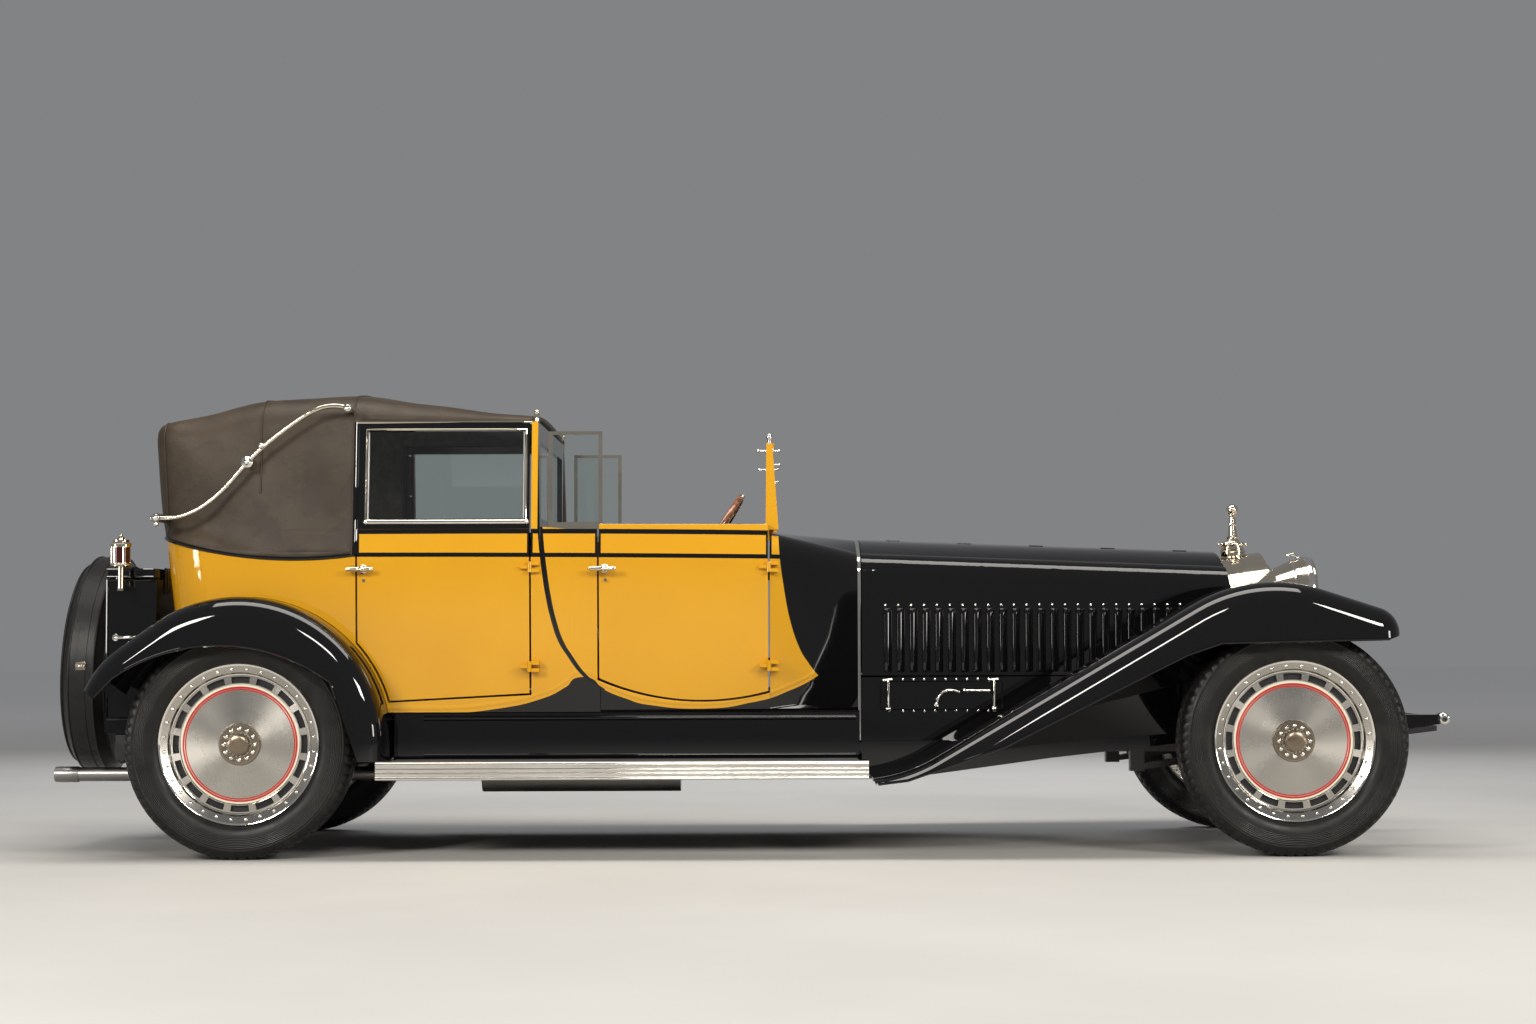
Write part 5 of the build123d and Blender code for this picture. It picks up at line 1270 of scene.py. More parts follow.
def louvre_loop(x, z, side):
    """Section of one vent at a height; its ends are round."""
    past = max(LOUVRE_Z[0] - z, z - LOUVRE_Z[1], 0) / LOUVRE_END
    s = math.sqrt(max(0.0, 1 - past**2))
    loop = []
    for u, v in LOUVRE_SECTION:
        out = bonnet_half(x + u) + (v * s if v > 0 else v)
        loop.append((x + 10 + (u - 10) * (0.7 + 0.3 * s), side * out, z))
    return loop


for side, hand in BOTH:
    louvres = Shape()
    tips = Shape()
    for x in LOUVRE_X:
        louvres.rings([louvre_loop(x, z, side) for z in LOUVRE_LEVELS])
        tips.turned(RIVET, (x + 4, side * (bonnet_half(x) + 3), RIVET_Z), (0, side, 0), 14)
    louvres.make(f"louvres_{hand}", BLACK_GLOSS, body_name(f"bonnet_{hand}"), angle=60)
    tips.make(f"louvre_rivets_{hand}", BRIGHT, body_name(f"bonnet_{hand}"))

# Hatch in each side panel: its edge, two catches, a curved handle, a bar and rows of rivets
HATCH_CORNERS = [(604, 590), (604, 708), (1124, 708), (1124, 590)]
CURVE = [(843, 606), (846, 628), (856, 648), (872, 662), (892, 669), (916, 668), (941, 660)]
HATCH_RIVET = [(0, -3), (6, -3), (6, 0.5), (4, 3), (0, 4)]
fittings = Shape()
for x in (638, 1090):
    y = bonnet_half(x) + 9
    fittings.tube([(x, y, 592), (x, y + 4, 640), (x, y + 5, 700), (x, y, 716)], [6, 5, 6, 7], 12)
    fittings.tube([(x - 20, y + 3, 712), (x + 16, y + 3, 716)], 6, 12).ball((x - 20, y + 3, 712), 7.5)
    fittings.turned([(0, -10), (12, -10), (12, 2), (8, 6), (0, 8)], (x, y, 590), LEFT, 20)
y = bonnet_half(890) + 14
fittings.tube([(x, y, z) for x, z in CURVE], [5, 5.5, 6, 6.5, 6.5, 6, 5], 12)
fittings.turned([(0, -16), (11, -16), (11, 0), (8, 4), (0, 6)], (843, y, 606), LEFT, 20)
y = bonnet_half(1013) + 10
fittings.tube([(962, y, 668), (1065, y, 666)], 6, 12).ball((962, y, 668), 8.5).ball((1065, y, 666), 8.5)
for x in (975, 1052):
    fittings.turned([(0, -12), (7, -12), (7, 0), (0, 0)], (x, y, 667), LEFT, 14)
for x in between(700, 1066, 9):
    for z in (716, 582):
        fittings.turned(HATCH_RIVET, (x, bonnet_half(x), z), LEFT, 12)
fittings.mirrored().make("hatch_fittings", BRIGHT)
hatch_line = stepped(HATCH_CORNERS + HATCH_CORNERS[:1], lambda length: 8)[:-1]
hatch = Shape().tube([(x, bonnet_half(x) + 0.5, z) for x, z in hatch_line], 3, 8, wrap=True)
hatch.mirrored().make("hatch_edge", BLACK_GLOSS)

# Radiator slats and neck

LEAN = math.radians(-8)
LEAN_Z = 1234
CAP_X = NOSE_X + 79
SLAT_X = 2256
SLAT_FOOT = 586
SLAT_FLAT = 250
SLAT_RISE = 320 / 48
SLATS = 29
SLAT_SPAN = 273
SLAT = ((0, -5), (12, -2.2), (15, 0), (12, 2.2), (0, 5))
BALLS_R, BALLS_Z = 61, 1299
# Sides, then radius and height, of the neck, the cap and the two rings above it
NECK_PARTS = (
    (40, [(0, 1222), (74, 1222), (72, 1234), (58, 1240), (52, 1246), (52, 1262), (56, 1266), (56, 1272),
          (50, 1276), (50, 1284), (0, 1284)]),
    (40, [(0, 1290), (58, 1290), (60, 1296), (60, 1302), (56, 1308), (30, 1314), (27, 1322), (30, 1330),
          (22, 1338), (0, 1338)]),
    (32, [(0, 1380), (19, 1380), (22, 1386), (19, 1392), (0, 1392)]),
    (32, [(0, 1420), (15, 1420), (18, 1426), (15, 1432), (0, 1432)]),
)


def leaned(x, y, z):
    """A place on the radiator, which leans about a line across it near its top."""
    dx, dz = x - NOSE_X, z - LEAN_Z
    c, s = math.cos(LEAN), math.sin(LEAN)
    return (NOSE_X + dx * c + dz * s, y, LEAN_Z - dx * s + dz * c)


ARC_Y, ARC_Z, ARC_R = circle((300, 905), (228, 1119), (0, 1194))
slats = Shape()
for y in between(-SLAT_SPAN, SLAT_SPAN, SLATS):
    high = ARC_Z + math.sqrt(ARC_R**2 - (abs(y) - ARC_Y) ** 2) - 2
    low = SLAT_FOOT + max(0, abs(y) - SLAT_FLAT) * SLAT_RISE
    slats.rings([[leaned(SLAT_X + dx, y + dy, z) for dx, dy in SLAT] for z in (low, high)])
slats.make("radiator_slats", NICKEL, angle=30)
neck = Shape()
for sides, profile in NECK_PARTS:
    neck.turned(profile, (CAP_X, 0, 0), UP, sides)
for t in around(12):
    neck.ball((CAP_X + BALLS_R * math.cos(t), BALLS_R * math.sin(t), BALLS_Z), 6, 10)
neck.make("radiator_neck", NICKEL)

# Headlamp rims, glass, reflectors and stays

LAMP = (2410, 480, 1060)
LAMP_R = 165
RIM = [
    (-15, 2), (5, 0), (7, -8), (7, -18), (3, -26), (-3, -26), (-3, 4), (3, 9), (-3, 14), (-11, 12), (-15, 2),
]
BACK_RING = [(-20, -81), (-10, -79), (-7, -74), (-11, -70), (-20, -70)]
LAMP_GLASS = [(0, 22), (40, 21), (80, 18), (115, 14), (140, 9), (153, 4), (153, 3), (0, 3)]
REFLECTOR = [(0, 0.5), (36, 0.5), (36, 1.2), (152, 1.2), (152, 2), (34, 2), (30, 10), (16, 14), (0, 15)]
x, y, z = LAMP
rims = Shape()
for profile in (RIM, BACK_RING):
    rims.turned([(LAMP_R + r, reach) for r, reach in profile], LAMP, AHEAD, 56)
top = z + LAMP_R
rims.tube([(x - 40, y, top), (x - 60, y, top + 16), (x - 90, y, top + 10)], [8, 7, 4], 12)
rims.ball((x - 248, y, z), 24).mirrored().make("headlamp_rims", BRIGHT)
Shape().turned(LAMP_GLASS, LAMP, AHEAD, 56).mirrored().make("headlamp_glass", LENS)
Shape().turned(REFLECTOR, LAMP, AHEAD, 48).mirrored().make("headlamp_reflectors", BRIGHT)
stay = Shape().tube([(2378, 480, 872), (2330, 470, 880), (2285, 330, 960)], 8, 12)
stay.mirrored().make("headlamp_stays", NICKEL)

# Wheels: rim edge, two raised rings, bolts, hub flange and nut, as radius and reach from the middle

WHEEL_RINGS = (
    [(318, 68), (322, 72), (327, 73), (330, 70), (330, 66), (324, 62), (318, 68)],
    [(281, 34), (283, 38), (286.5, 39.5), (290, 38), (291, 34), (286, 30), (281, 34)],
    [(241, 34), (242.5, 36.2), (246, 36.6), (248.5, 34), (245, 30), (241, 34)],
)
# Count, shift of the first, radius and reach of the circle, sides and profile
WHEEL_BOLTS = (
    (32, 0.5, 306, 59, 10, [(0, -4), (7.5, -4), (7.5, 2.5), (5.5, 5.5), (3, 6.8), (0, 7)]),
    (12, 0, 63, 54, 12, [(0, -2), (8.5, -2), (8.5, 6), (6, 7), (6, 12), (3.5, 14), (0, 14.5)]),
)
HUB_PARTS = (
    (64, [(70, 54), (84, 53), (86, 49), (86, 40), (80, 38), (78, 50), (70, 54)]),
    (64, [(0, 54.5), (79, 54.5), (79, 55.5), (0, 55.5)]),
    (48, [(0, 80), (41, 80), (42, 84), (39, 90), (33, 93), (20, 94), (0, 94)]),
)
HUB_TEETH = 20
HUB_STEPS = ((55, 0.97), (57, 1), (70, 1), (76, 0.95), (80, 0.86))
SHADE = [(250, 17.5), (278, 17.5), (278, 15.5), (250, 15.5), (250, 17.5)]


def dress_wheel(x, side, name):
    """Bright rings and bolts, the hub with its toothed nut, and the dark ring of one wheel."""
    centre = (x, side * WHEEL_Y, AXLE_Z)
    way = (0, side, 0)
    body = body_name(f"wheel_{name}")

    def place(radius, turn, reach):
        return (x + radius * math.sin(turn), side * (WHEEL_Y + reach), AXLE_Z + radius * math.cos(turn))

    bright = Shape()
    for profile in WHEEL_RINGS:
        bright.turned(profile, centre, way, 96)
    for count, shift, radius, reach, sides, profile in WHEEL_BOLTS:
        for turn in around(count, shift):
            bright.turned(profile, place(radius, turn, reach), way, sides)
    bright.make(f"wheel_bolts_{name}", BRIGHT, body)
    hub = Shape()
    for sides, profile in HUB_PARTS:
        hub.turned(profile, centre, way, sides)
    teeth = [(50 if k % 4 in (0, 1) else 45, turn) for k, turn in enumerate(around(HUB_TEETH * 4))]
    hub.rings([[place(r * share, turn, reach) for r, turn in teeth] for reach, share in HUB_STEPS])
    hub.make(f"wheel_hub_{name}", HUB, body, angle=30)
    Shape().turned(SHADE, centre, way, 64).make(f"wheel_shade_{name}", CHASSIS, body)


for wheel in WHEELS:
    dress_wheel(*wheel)

# Running boards: bright edge with ribs, and a ribbed mat

BOARD_X0, BOARD_X1 = -1461, 532
BOARD_Y = 950
BOARD_FOOT, BOARD_TOP = 325, 392
edges = Shape().box(BOARD_X0, BOARD_X1, BOARD_Y - 2, BOARD_Y + 4, BOARD_FOOT, BOARD_TOP + 5)
edges.box(BOARD_X0, BOARD_X1, BOARD_Y - 12, BOARD_Y + 4, BOARD_TOP, BOARD_TOP + 7)
for z, r in ((332, 8), (352, 4.5), (368, 4.5), (389, 8)):
    edges.tube([(BOARD_X0, BOARD_Y + 3, z), (BOARD_X1, BOARD_Y + 3, z)], r, 12)
edges.mirrored().make("running_board_edges", EDGE_STRIP, angle=30)
mats = Shape().box(BOARD_X0 + 46, BOARD_X1 - 36, 706, 936, BOARD_TOP, BOARD_TOP + 3)
for y in between(714, 930, 19):
    mats.tube([(x, y, BOARD_TOP + 3) for x in (BOARD_X0 + 50, BOARD_X1 - 40)], 3.4, 6)
mats.mirrored().make("running_board_mats", MAT)

# Dressing of the engine block: cam cover, manifolds, plugs, pipes and fan

ENGINE_TOP, ENGINE_SIDE = 1120, 230
COVER_Z, COVER_HALF, COVER_HIGH = 1168, 82, 50
PORTS_X = between(830, 1831, 8)
NUT = [(0, 1148), (11, 1148), (11, 1160), (8, 1162), (8, 1168), (5, 1173), (0, 1175)]
PLUG = [(0, 0), (13, 0), (13, 12), (8, 14), (8, 34), (5, 36), (5, 44), (0, 45)]
MANIFOLD = [
    (1880, -286, 950), (1500, -288, 950), (1100, -288, 948), (860, -288, 936), (806, -284, 890),
    (792, -266, 780), (790, -250, 600),
]
CARBURETTOR = [
    (0, 830), (38, 830), (40, 838), (40, 890), (30, 898), (24, 904), (24, 930), (31, 936), (31, 960),
    (24, 980), (0, 982),
]
TRUMPET = [(0, 0), (20, 0), (27, 26), (27, 34), (22, 34), (16, 6), (0, 6)]
FAN_X, FAN_Z = 2020, 1010
FAN_HUB = [(0, -65), (60, -65), (60, -35), (26, -30), (26, -8), (48, -8), (48, 0), (20, 10), (0, 10)]
# Radius, half width and lean of a fan blade
BLADE = ((40, 20, 9), (95, 34, 13), (155, 38, 11))
BLADE_TURN = 0.35


def cover_top(y):
    return COVER_Z + COVER_HIGH * math.sqrt(1 - (y / COVER_HALF) ** 2)


def cam_cover():
    foot = 1150
    turns = between(-math.pi / 2, math.pi / 2, 9)
    arc = [(COVER_HALF * math.sin(t), COVER_Z + COVER_HIGH * math.cos(t)) for t in turns]
    section = [(-92, foot), (-92, COVER_Z), *arc, (92, COVER_Z), (92, foot)]
    ends = ((722, 0.9), (732, 1), (1928, 1), (1938, 0.9))
    cover = Shape().rings([[(x, y * s, foot + (z - foot) * s) for y, z in section] for x, s in ends])
    for y in between(-40, 40, 5):
        cover.tube([(760, y, cover_top(y)), (1900, y, cover_top(y))], 3.5, 8)
    cover.make("engine_cam_cover", ALLOY, angle=40)


def head_and_nuts():
    side = ENGINE_SIDE
    head = Shape().box(760, 1900, side - 4, side + 8, 560, 770)
    for x in between(775, 1885, 9):
        head.box(x - 7, x + 7, side - 4, side + 14, 800, 1096)
    head.mirrored().box(712, 1948, -128, 128, ENGINE_TOP - 4, 1152).make("engine_head", CAST, bevel=3)
    nuts = Shape()
    for k in range(10):
        nuts.turned(NUT, (750 + 128 * k, 108, 0), UP, 6)
        for z in (575, 755):
            nuts.turned([(0, 0), (7, 0), (7, 5), (0, 6)], (772 + 124 * k, side + 8, z), LEFT, 6)
    nuts.mirrored().make("engine_nuts", BRIGHT, angle=30)


def manifolds():
    """Exhaust manifold on the right, and the intake with its carburettors on the left."""
    hot = Shape().tube(MANIFOLD, [30, 34, 36, 37, 37, 36, 33], 20)
    for x in PORTS_X:
        hot.tube([(x, -226, 985), (x, -258, 984), (x - 8, -284, 958)], [26, 24, 24], 16)
        hot.turned([(0, 0), (36, 0), (36, 9), (0, 9)], (x, -229, 985), (0, -1, 0), 20)
    hot.make("engine_exhaust_manifold", CAST)
    pipe = [(900, 268, 1000), (1150, 274, 1004), (1500, 274, 1004), (1760, 268, 1000)]
    cold = Shape().tube(pipe, [24, 28, 28, 24], 20)
    for x in (900, 1180, 1470, 1760):
        cold.tube([(x, 226, 1010), (x, 250, 1008), (x, 268, 1002)], 23, 16)
        cold.turned([(0, 0), (32, 0), (32, 8), (0, 8)], (x, 229, 1010), LEFT, 20)
    for x in (1150, 1500):
        cold.turned(CARBURETTOR, (x, 282, 0), UP, 32).turned(TRUMPET, (x + 30, 282, 945), AHEAD, 24)
    cold.make("engine_intake", ALLOY, angle=40)


def plugs_and_leads():
    plugs = Shape()
    leads = Shape().tube([(1900, 168, 1172), (1300, 168, 1176), (790, 168, 1172)], 13, 16)
    for x in PORTS_X:
        plugs.turned(PLUG, (x, 122, 1135), (0, 0.86, 0.5), 16)
        leads.tube([(x, 160, 1158), (x, 178, 1172), (x + 18, 180, 1186), (x + 32, 172, 1182)], 3.6, 8)
    plugs.make("engine_plugs", DIAL)
    leads.make("engine_leads", BLACK_GLOSS)


def pipe_and_fan():
    water = Shape().tube([(1930, 0, 1176), (1990, 0, 1178), (2050, 0, 1168), (2104, 0, 1156)], 27, 20)
    for x in (1962, 2070):
        clip = [(27, 0), (31, 0), (31, 16), (27, 16), (27, 0)]
        water.turned(clip, (x, 0, 1179 - 0.13 * (x - 1962)), (1, 0, -0.1), 24)
    water.turned(FAN_HUB, (FAN_X, 0, FAN_Z), AHEAD)
    for t in around(4):
        c, s = math.cos(t + BLADE_TURN), math.sin(t + BLADE_TURN)
        blade = []
        for r, half, lean in BLADE:
            corners = ((lean, half), (lean + 3, half), (3 - lean, -half), (-lean, -half))
            blade.append([(FAN_X + dx, r * c - h * s, FAN_Z + r * s + h * c) for dx, h in corners])
        water.rings(blade)
    water.make("engine_water_pipe_and_fan", BLACK_GLOSS)


cam_cover()
head_and_nuts()
manifolds()
plugs_and_leads()
pipe_and_fan()

# Valances that close the space between running board, cowl, frame and fender
RAIL_Y, APRON_Y = 431, 654
# x, inner and outer z, outer y
VALANCE_ROWS = (
    (500, 330, 330, 700), (560, 327, 327, 700), (620, 333, 335, 702), (700, 350, 358, 704),
    (800, 378, 404, 704), (892, 402, 455, 704),
)
valance = Shape().box(100, 506, 400, APRON_Y, 588, 592).box(500, 505, RAIL_Y, APRON_Y, 330, 592)
valance.rings([
    [(x, RAIL_Y, z_in - 2), (x, y, z_out - 2), (x, y, z_out + 2), (x, RAIL_Y, z_in + 2)]
    for x, z_in, z_out, y in VALANCE_ROWS
])
valance.mirrored().make("front_valances", BLACK_GLOSS, angle=30)

# Rolled edges along the aprons, and beads along the fender lips
apron_skin = seen_surface("side_panels", "running_boards")
fender_skin = seen_surface("front_fenders", "rear_fenders")
FRONT_LIP = ((370, 882), (-310, 868), (-451, 820), (-1190, 453), (-1581, 318), (-1700, 303))
LIP_X, LIP_Z, LIP_R = circle((-490, 742), (0, 870), (390, 722))
LIP_ARC = [(x, LIP_Z + math.sqrt(LIP_R**2 - (x - LIP_X) ** 2)) for x in between(-490, 390, 21)]
REAR_LIP = [(-566, 664), *LIP_ARC, (497, 402)]
rolls = Shape()
beads = Shape()
for side, _ in BOTH:
    for z, r in ((566, 11), (412, 9)):
        rolls.tube(laid(apron_skin, [(-1425, z), (488, z)], side, -4, 120), r, 14)
    for axle, lip in ((FRONT_X, FRONT_LIP), (REAR_X, REAR_LIP)):
        path = laid(fender_skin, [(axle + x, z) for x, z in lip], side, -1, 24)
        beads.tube([p for p in path if abs(p[1]) > 880], 6, 8)
rolls.make("apron_rolls", BLACK_GLOSS)
beads.make("fender_beads", BLACK_GLOSS)

# Windscreen: finials, wing nuts and the pane's bright frame
POST_Y = 618
SCREEN_X, SCREEN_HALF = 145, 603
FINIAL = [(0, 0), (13, 0), (14, 7), (8, 13), (8, 18), (12.5, 25), (12.5, 34), (7, 43), (0, 47)]
screen = Shape().turned(FINIAL, (135, POST_Y, 1704), UP, 24)
screen.tube([(140, POST_Y, 1676), (92, POST_Y, 1676)], 4, 12).ball((88, POST_Y, 1676), 7.5, 14)
for z in (1676, 1618):
    screen.tube([(140, POST_Y, z), (172, POST_Y, z)], 4, 12).ball((175, POST_Y, z), 7, 14)
    screen.turned([(0, 0), (12, 0), (12, 4), (8, 7), (0, 8)], (148, POST_Y, z), AHEAD, 20)
screen.tube([(136, POST_Y - 15, 1372), (140, POST_Y - 15, 1700)], 5).mirrored()
for z, r, sides in ((1694, 6.5, 12), (1374, 6.5, 12), (1535, 3.5, 10)):
    screen.tube([(SCREEN_X, -SCREEN_HALF, z), (SCREEN_X, SCREEN_HALF, z)], r, sides)
screen.make("windscreen_fittings", BRIGHT)

# Steering wheel boss and spokes, and the column's collars
WHEEL_AT = Vector((-101, -350, 1311))
SLOPE = math.radians(32)
DOWN = Vector((math.cos(SLOPE), 0, -math.sin(SLOPE)))
BOSS = [(0, -26), (16, -25), (24, -20), (34, -15), (34, 13), (26, 17), (0, 17)]
boss = Shape().turned(BOSS, WHEEL_AT, DOWN, 36)
for t in around(4, 0.5):
    out = Vector(LEFT) * math.cos(t) + DOWN.cross(Vector(LEFT)) * math.sin(t)
    boss.tube([WHEEL_AT + out * r for r in (30, 120, 209)], [10, 8.2, 7.6], 12)
boss.make("steering_wheel_boss", NICKEL, body_name("steering_wheel"))
collar = Shape().turned([(0, 24), (25, 24), (27, 30), (27, 60), (24, 66), (0, 66)], WHEEL_AT, DOWN, 32)
collar.turned([(0, 190), (26, 190), (30, 196), (30, 204), (26, 210), (0, 210)], WHEEL_AT, DOWN, 32)
collar.make("steering_collar", NICKEL)

# Dashboard instruments: y, z and radius, and a row of knobs
DASH_X = 155
HAND_TURN = 0.013
DIALS = (
    (-410, 1235, 52), (-285, 1235, 52), (-180, 1255, 30), (-180, 1190, 30), (0, 1235, 58), (150, 1255, 30),
    (150, 1190, 30), (300, 1235, 46),
)
dials = Shape()
faces = Shape()
hands = Shape()
for y, z, r in DIALS:
    rim = [(r - 7, 0), (r - 6, 5), (r - 2, 8), (r + 2, 6), (r + 4, 0), (r - 7, 0)]
    dials.turned(rim, (DASH_X, y, z), (-1, 0, 0), 36)
    faces.turned([(0, 0.5), (r - 6, 0.5), (r - 6, 2), (0, 2)], (DASH_X, y, z), (-1, 0, 0), 32)
    for t in around(12):
        c, s = math.cos(t), math.sin(t)
        hands.tube([(DASH_X - 2.4, y + r * share * s, z + r * share * c) for share in (0.62, 0.78)], 1, 6)
    t = y * HAND_TURN
    tip = (DASH_X - 3, y + r * 0.6 * math.sin(t), z + r * 0.6 * math.cos(t))
    hands.tube([(DASH_X - 3, y, z), tip], [2.2, 0.8], 6)
for y in between(-60, 60, 6):
    dials.turned([(0, 0), (9, 0), (9, 10), (6, 16), (0, 17)], (DASH_X, y, 1130), (-1, 0, 0), 16)
dials.make("dial_rims", NICKEL)
faces.make("dial_faces", DIAL)
hands.make("dial_hands", BLACK_GLOSS)

# Assist straps inside the rear doors
STRAP_X = -1549
STRAP = ((668, 1752), (655, 1700), (662, 1620), (690, 1563))
for side, hand in BOTH:
    body = body_name(f"rear_door_{hand}")
    knobs = Shape()
    for y, z in ((672, 1752), (694, 1563)):
        knobs.turned([(0, -6), (12, -6), (12, 2), (8, 8), (0, 10)], (STRAP_X, side * y, z), (0, -side, 0), 20)
    strap = Shape().tube([(STRAP_X, side * y, z) for y, z in STRAP], 9, flat=0.4)
    strap.make(f"assist_strap_{hand}", SEAT_LEATHER, body)
    knobs.make(f"assist_strap_knobs_{hand}", BRIGHT, body)

# Trunk: edge beads, handles, latches and the lid's beads
TRUNK_END = -2656
GRIP = ((-2620, 518), (-2618, 546), (-2600, 556), (-2510, 556), (-2492, 546), (-2490, 518))
GRIP_Z = 905
LATCH_Y = 300
trunk = Shape().tube([(TRUNK_END, 519, 562), (TRUNK_END, 519, 1148)], 6, 8)
for z in (564, 1146):
    trunk.tube([(TRUNK_END + 1, 521, z), (-2456, 521, z)], 6, 8)
trunk.mirrored()
for z in (564, 1146):
    trunk.tube([(TRUNK_END, -519, z), (TRUNK_END, 519, z)], 6, 8)
trunk.make("trunk_beads", BLACK_GLOSS)
bars = Shape().tube([(x, y, GRIP_Z) for x, y in GRIP], 7, 12)
for x in (-2620, -2490):
    bars.turned([(0, -4), (15, -4), (15, 3), (0, 4)], (x, 520, GRIP_Z), LEFT, 20)
bars.box(-2662, -2654, LATCH_Y - 22, LATCH_Y + 22, 1092, 1140)
bars.mirrored().make("trunk_handles", BRIGHT, bevel=1.5)
latch = Shape().box(-2663, -2655, LATCH_Y - 17, LATCH_Y + 17, 1158, 1190)
latch.tube([(-2663, LATCH_Y, 1180), (-2669, LATCH_Y, 1160), (-2668, LATCH_Y, 1122)], [5, 6, 5])
latch.mirrored().make("trunk_latches", BRIGHT, body_name("trunk_lid"), bevel=1.5)
lid = Shape()
for z in (1160, 1191):
    lid.tube([(-2462, -521, z), (TRUNK_END, -521, z), (TRUNK_END, 521, z), (-2462, 521, z)], 5, 8)
lid.make("trunk_lid_beads", BLACK_GLOSS, body_name("trunk_lid"))

# Spare wheel cover: welts, strap and clasp
TILT = math.radians(3)
SPARE_WAY = Vector((math.cos(TILT), 0, -math.sin(TILT)))
SPARE_AT = (-2780, 0, 790)
cover = Shape()
for r, reach in ((431, 90), (431, -90), (467, 52), (467, -52), (330, -89)):
    welt = [(r + 5 * math.cos(t), reach + 5 * math.sin(t)) for t in around(8)]
    cover.turned(welt + welt[:1], SPARE_AT, SPARE_WAY, 96)
strap = [(466, -22), (470.5, -20), (470.5, 20), (466, 22), (464, 0), (466, -22)]
cover.turned(strap, SPARE_AT, SPARE_WAY, 96)
cover.make("spare_cover_welts", COVER)
clasp = Shape().box(-2800, -2758, 468, 477, 768, 802)
clasp.tube([(-2800, 477, 785), (-2779, 484, 785), (-2758, 477, 785)], [4, 7, 4]).mirrored()
cap = [(0, -70), (96, -70), (96, -76), (84, -82), (60, -86), (30, -92), (0, -94)]
clasp.turned(cap, SPARE_AT, SPARE_WAY, 48).make("spare_clasp", NICKEL, bevel=1)

# Lanterns: glass, bars and cap
LANTERN_X, LANTERN_Y = -2576, 620
LANTERN_BARS_R = 38
LANTERN_CAP = [(0, 1293), (43, 1293), (44, 1297), (38, 1302), (24, 1310), (15, 1318), (13, 1324), (0, 1326)]
LANTERN_BASE = [(0, 1200), (30, 1200), (43, 1206), (44, 1212), (40, 1216), (0, 1216)]
LANTERN_PANE = [(34.5, 1217), (36.5, 1219), (36.5, 1279), (34.5, 1281), (33, 1250), (34.5, 1217)]
lantern = Shape()
for t in around(6):
    x = LANTERN_X + LANTERN_BARS_R * math.cos(t)
    y = LANTERN_Y + LANTERN_BARS_R * math.sin(t)
    lantern.tube([(x, y, 1212), (x, y, 1285)], 3.2, 8)
for profile in (LANTERN_CAP, LANTERN_BASE):
    lantern.turned(profile, (LANTERN_X, LANTERN_Y, 0), UP, 36)
lantern.ball((LANTERN_X, LANTERN_Y, 1331), 7.5, 12).mirrored().make("lantern_frames", NICKEL)
pane = Shape().turned(LANTERN_PANE, (LANTERN_X, LANTERN_Y, 0), UP)
pane.mirrored().make("lantern_glass", LANTERN_GLASS)

# Rings at the front horns' eyes, and the exhaust tip
EYE = [(11, 0), (23, 0), (25, 3), (22, 7), (16, 9), (11, 8), (11, 0)]
EYE_X, EYE_Z = 2991, 543
horns = Shape().turned(EYE, (EYE_X, 429, EYE_Z), LEFT, 28).turned(EYE, (EYE_X, 371, EYE_Z), (0, -1, 0), 28)
horns.mirrored().make("horn_eye_rings", BRIGHT)
tip = [(26, 0), (33, 0), (34, 20), (34, 96), (33, 100), (31, 100), (31, 20), (26, 0)]
Shape().turned(tip, (-2938, -250, 318), AHEAD).make("exhaust_tip", FORGED)

# Floor, lights, world and camera

FLOOR_HALF = 60
PALE = (0.96, 0.96, 0.96)
WARM = (1.0, 0.96, 0.9)
COOL = (0.92, 0.95, 1.0)
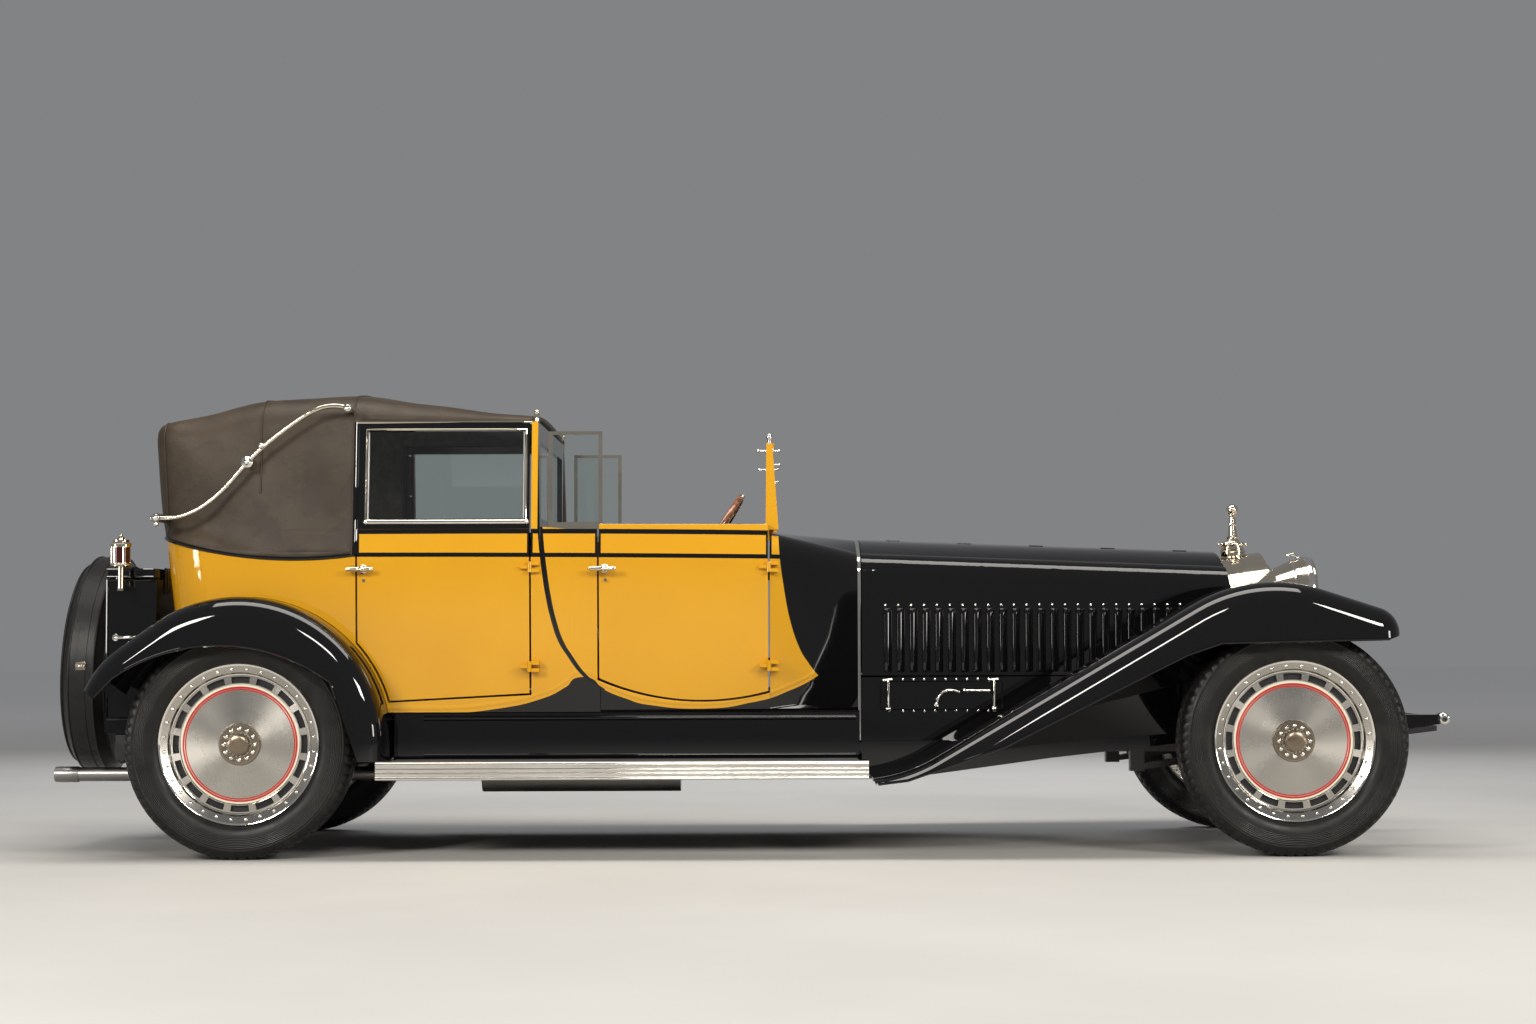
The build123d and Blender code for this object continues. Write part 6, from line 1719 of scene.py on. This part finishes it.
# Name, place, target, width, height, power, colour and the rays that don't see it
LIGHTS = (
    ("top", (0, -1, 6), (0, 0, 0.5), 8, 2, 330, WARM, None),
    ("front_left", (-5.5, -8, 4.2), (-1, 0, 0.9), 2, 1.6, 400, WARM, None),
    ("front_right", (6, -7.5, 4.5), (1.5, 0, 0.8), 2, 1.6, 360, WARM, None),
    ("camera_side", (0.5, -10.5, 5.5), (0, 0, 0.8), 3, 1, 300, WARM, None),
    ("low_left", (-9, -5, 1.5), (0.5, 0, 0.8), 1.6, 1.4, 130, WARM, "visible_diffuse"),
    ("low_right", (9.5, -5.5, 1.4), (0.5, 0, 0.8), 1.4, 1.2, 90, WARM, "visible_diffuse"),
    ("behind", (0, 7, 5), (0, 0, 0.8), 9, 2, 330, COOL, "visible_glossy"),
)
WORLD_COLOR = (0.80, 0.81, 0.84, 1.0)
WORLD_STRENGTH = 0.28
CAMERA_AT = (0.089, -11.57, 0.90)
CAMERA_LENS = 61.44
CAMERA_SENSOR = 36
CAMERA_UP = 2.72
CAMERA_ROLL = 0.19
scene = bpy.context.scene


def floor_look():
    """Floor with painted shade: grey with soft patches near the car, paling with distance."""
    p = Paint("studio_floor")
    across, deep, _ = p.parts()
    near = p.mottled((0.50, 0.49, 0.47), (0.53, 0.52, 0.50), 0.6, 3.0, 0.3, 0.7)
    # painted shade and light: the floor darkens towards the car and turns pale far off
    tone = p.mix(p.ramp(p.length(across, deep), 4.0, 22.0), near, PALE)
    return p.done(tone, 0.0, 0.6, Specular_IOR_Level=0.0)


def area(name, place, target, wide, high, power, color, hidden):
    light = bpy.data.lights.new(name, "AREA")
    light.shape = "RECTANGLE"
    light.size = wide
    light.size_y = high
    light.energy = power
    light.color = color
    obj = new_object(name, light, place)
    obj.rotation_euler = (Vector(target) - Vector(place)).to_track_quat("-Z", "Y").to_euler()
    if hidden:
        setattr(obj, hidden, False)


floor = bpy.data.meshes.new("floor")
corners = [(x * FLOOR_HALF, y * FLOOR_HALF, -0.001) for x, y in ((-1, -1), (1, -1), (1, 1), (-1, 1))]
floor.from_pydata(corners, [], [(0, 1, 2, 3)])
floor.materials.append(floor_look())
new_object("floor", floor)
for light in LIGHTS:
    area(*light)

world = bpy.data.worlds.new("studio")
scene.world = world
world.use_nodes = True
background = world.node_tree.nodes["Background"]
background.inputs["Color"].default_value = WORLD_COLOR
background.inputs["Strength"].default_value = WORLD_STRENGTH

camera = bpy.data.cameras.new("photo")
camera.lens = CAMERA_LENS
camera.sensor_width = CAMERA_SENSOR
camera.clip_end = 200
eye = new_object("photo", camera, CAMERA_AT)
eye.rotation_euler = (math.radians(90 + CAMERA_UP), math.radians(CAMERA_ROLL), 0)
scene.camera = eye
scene.view_settings.view_transform = "Standard"
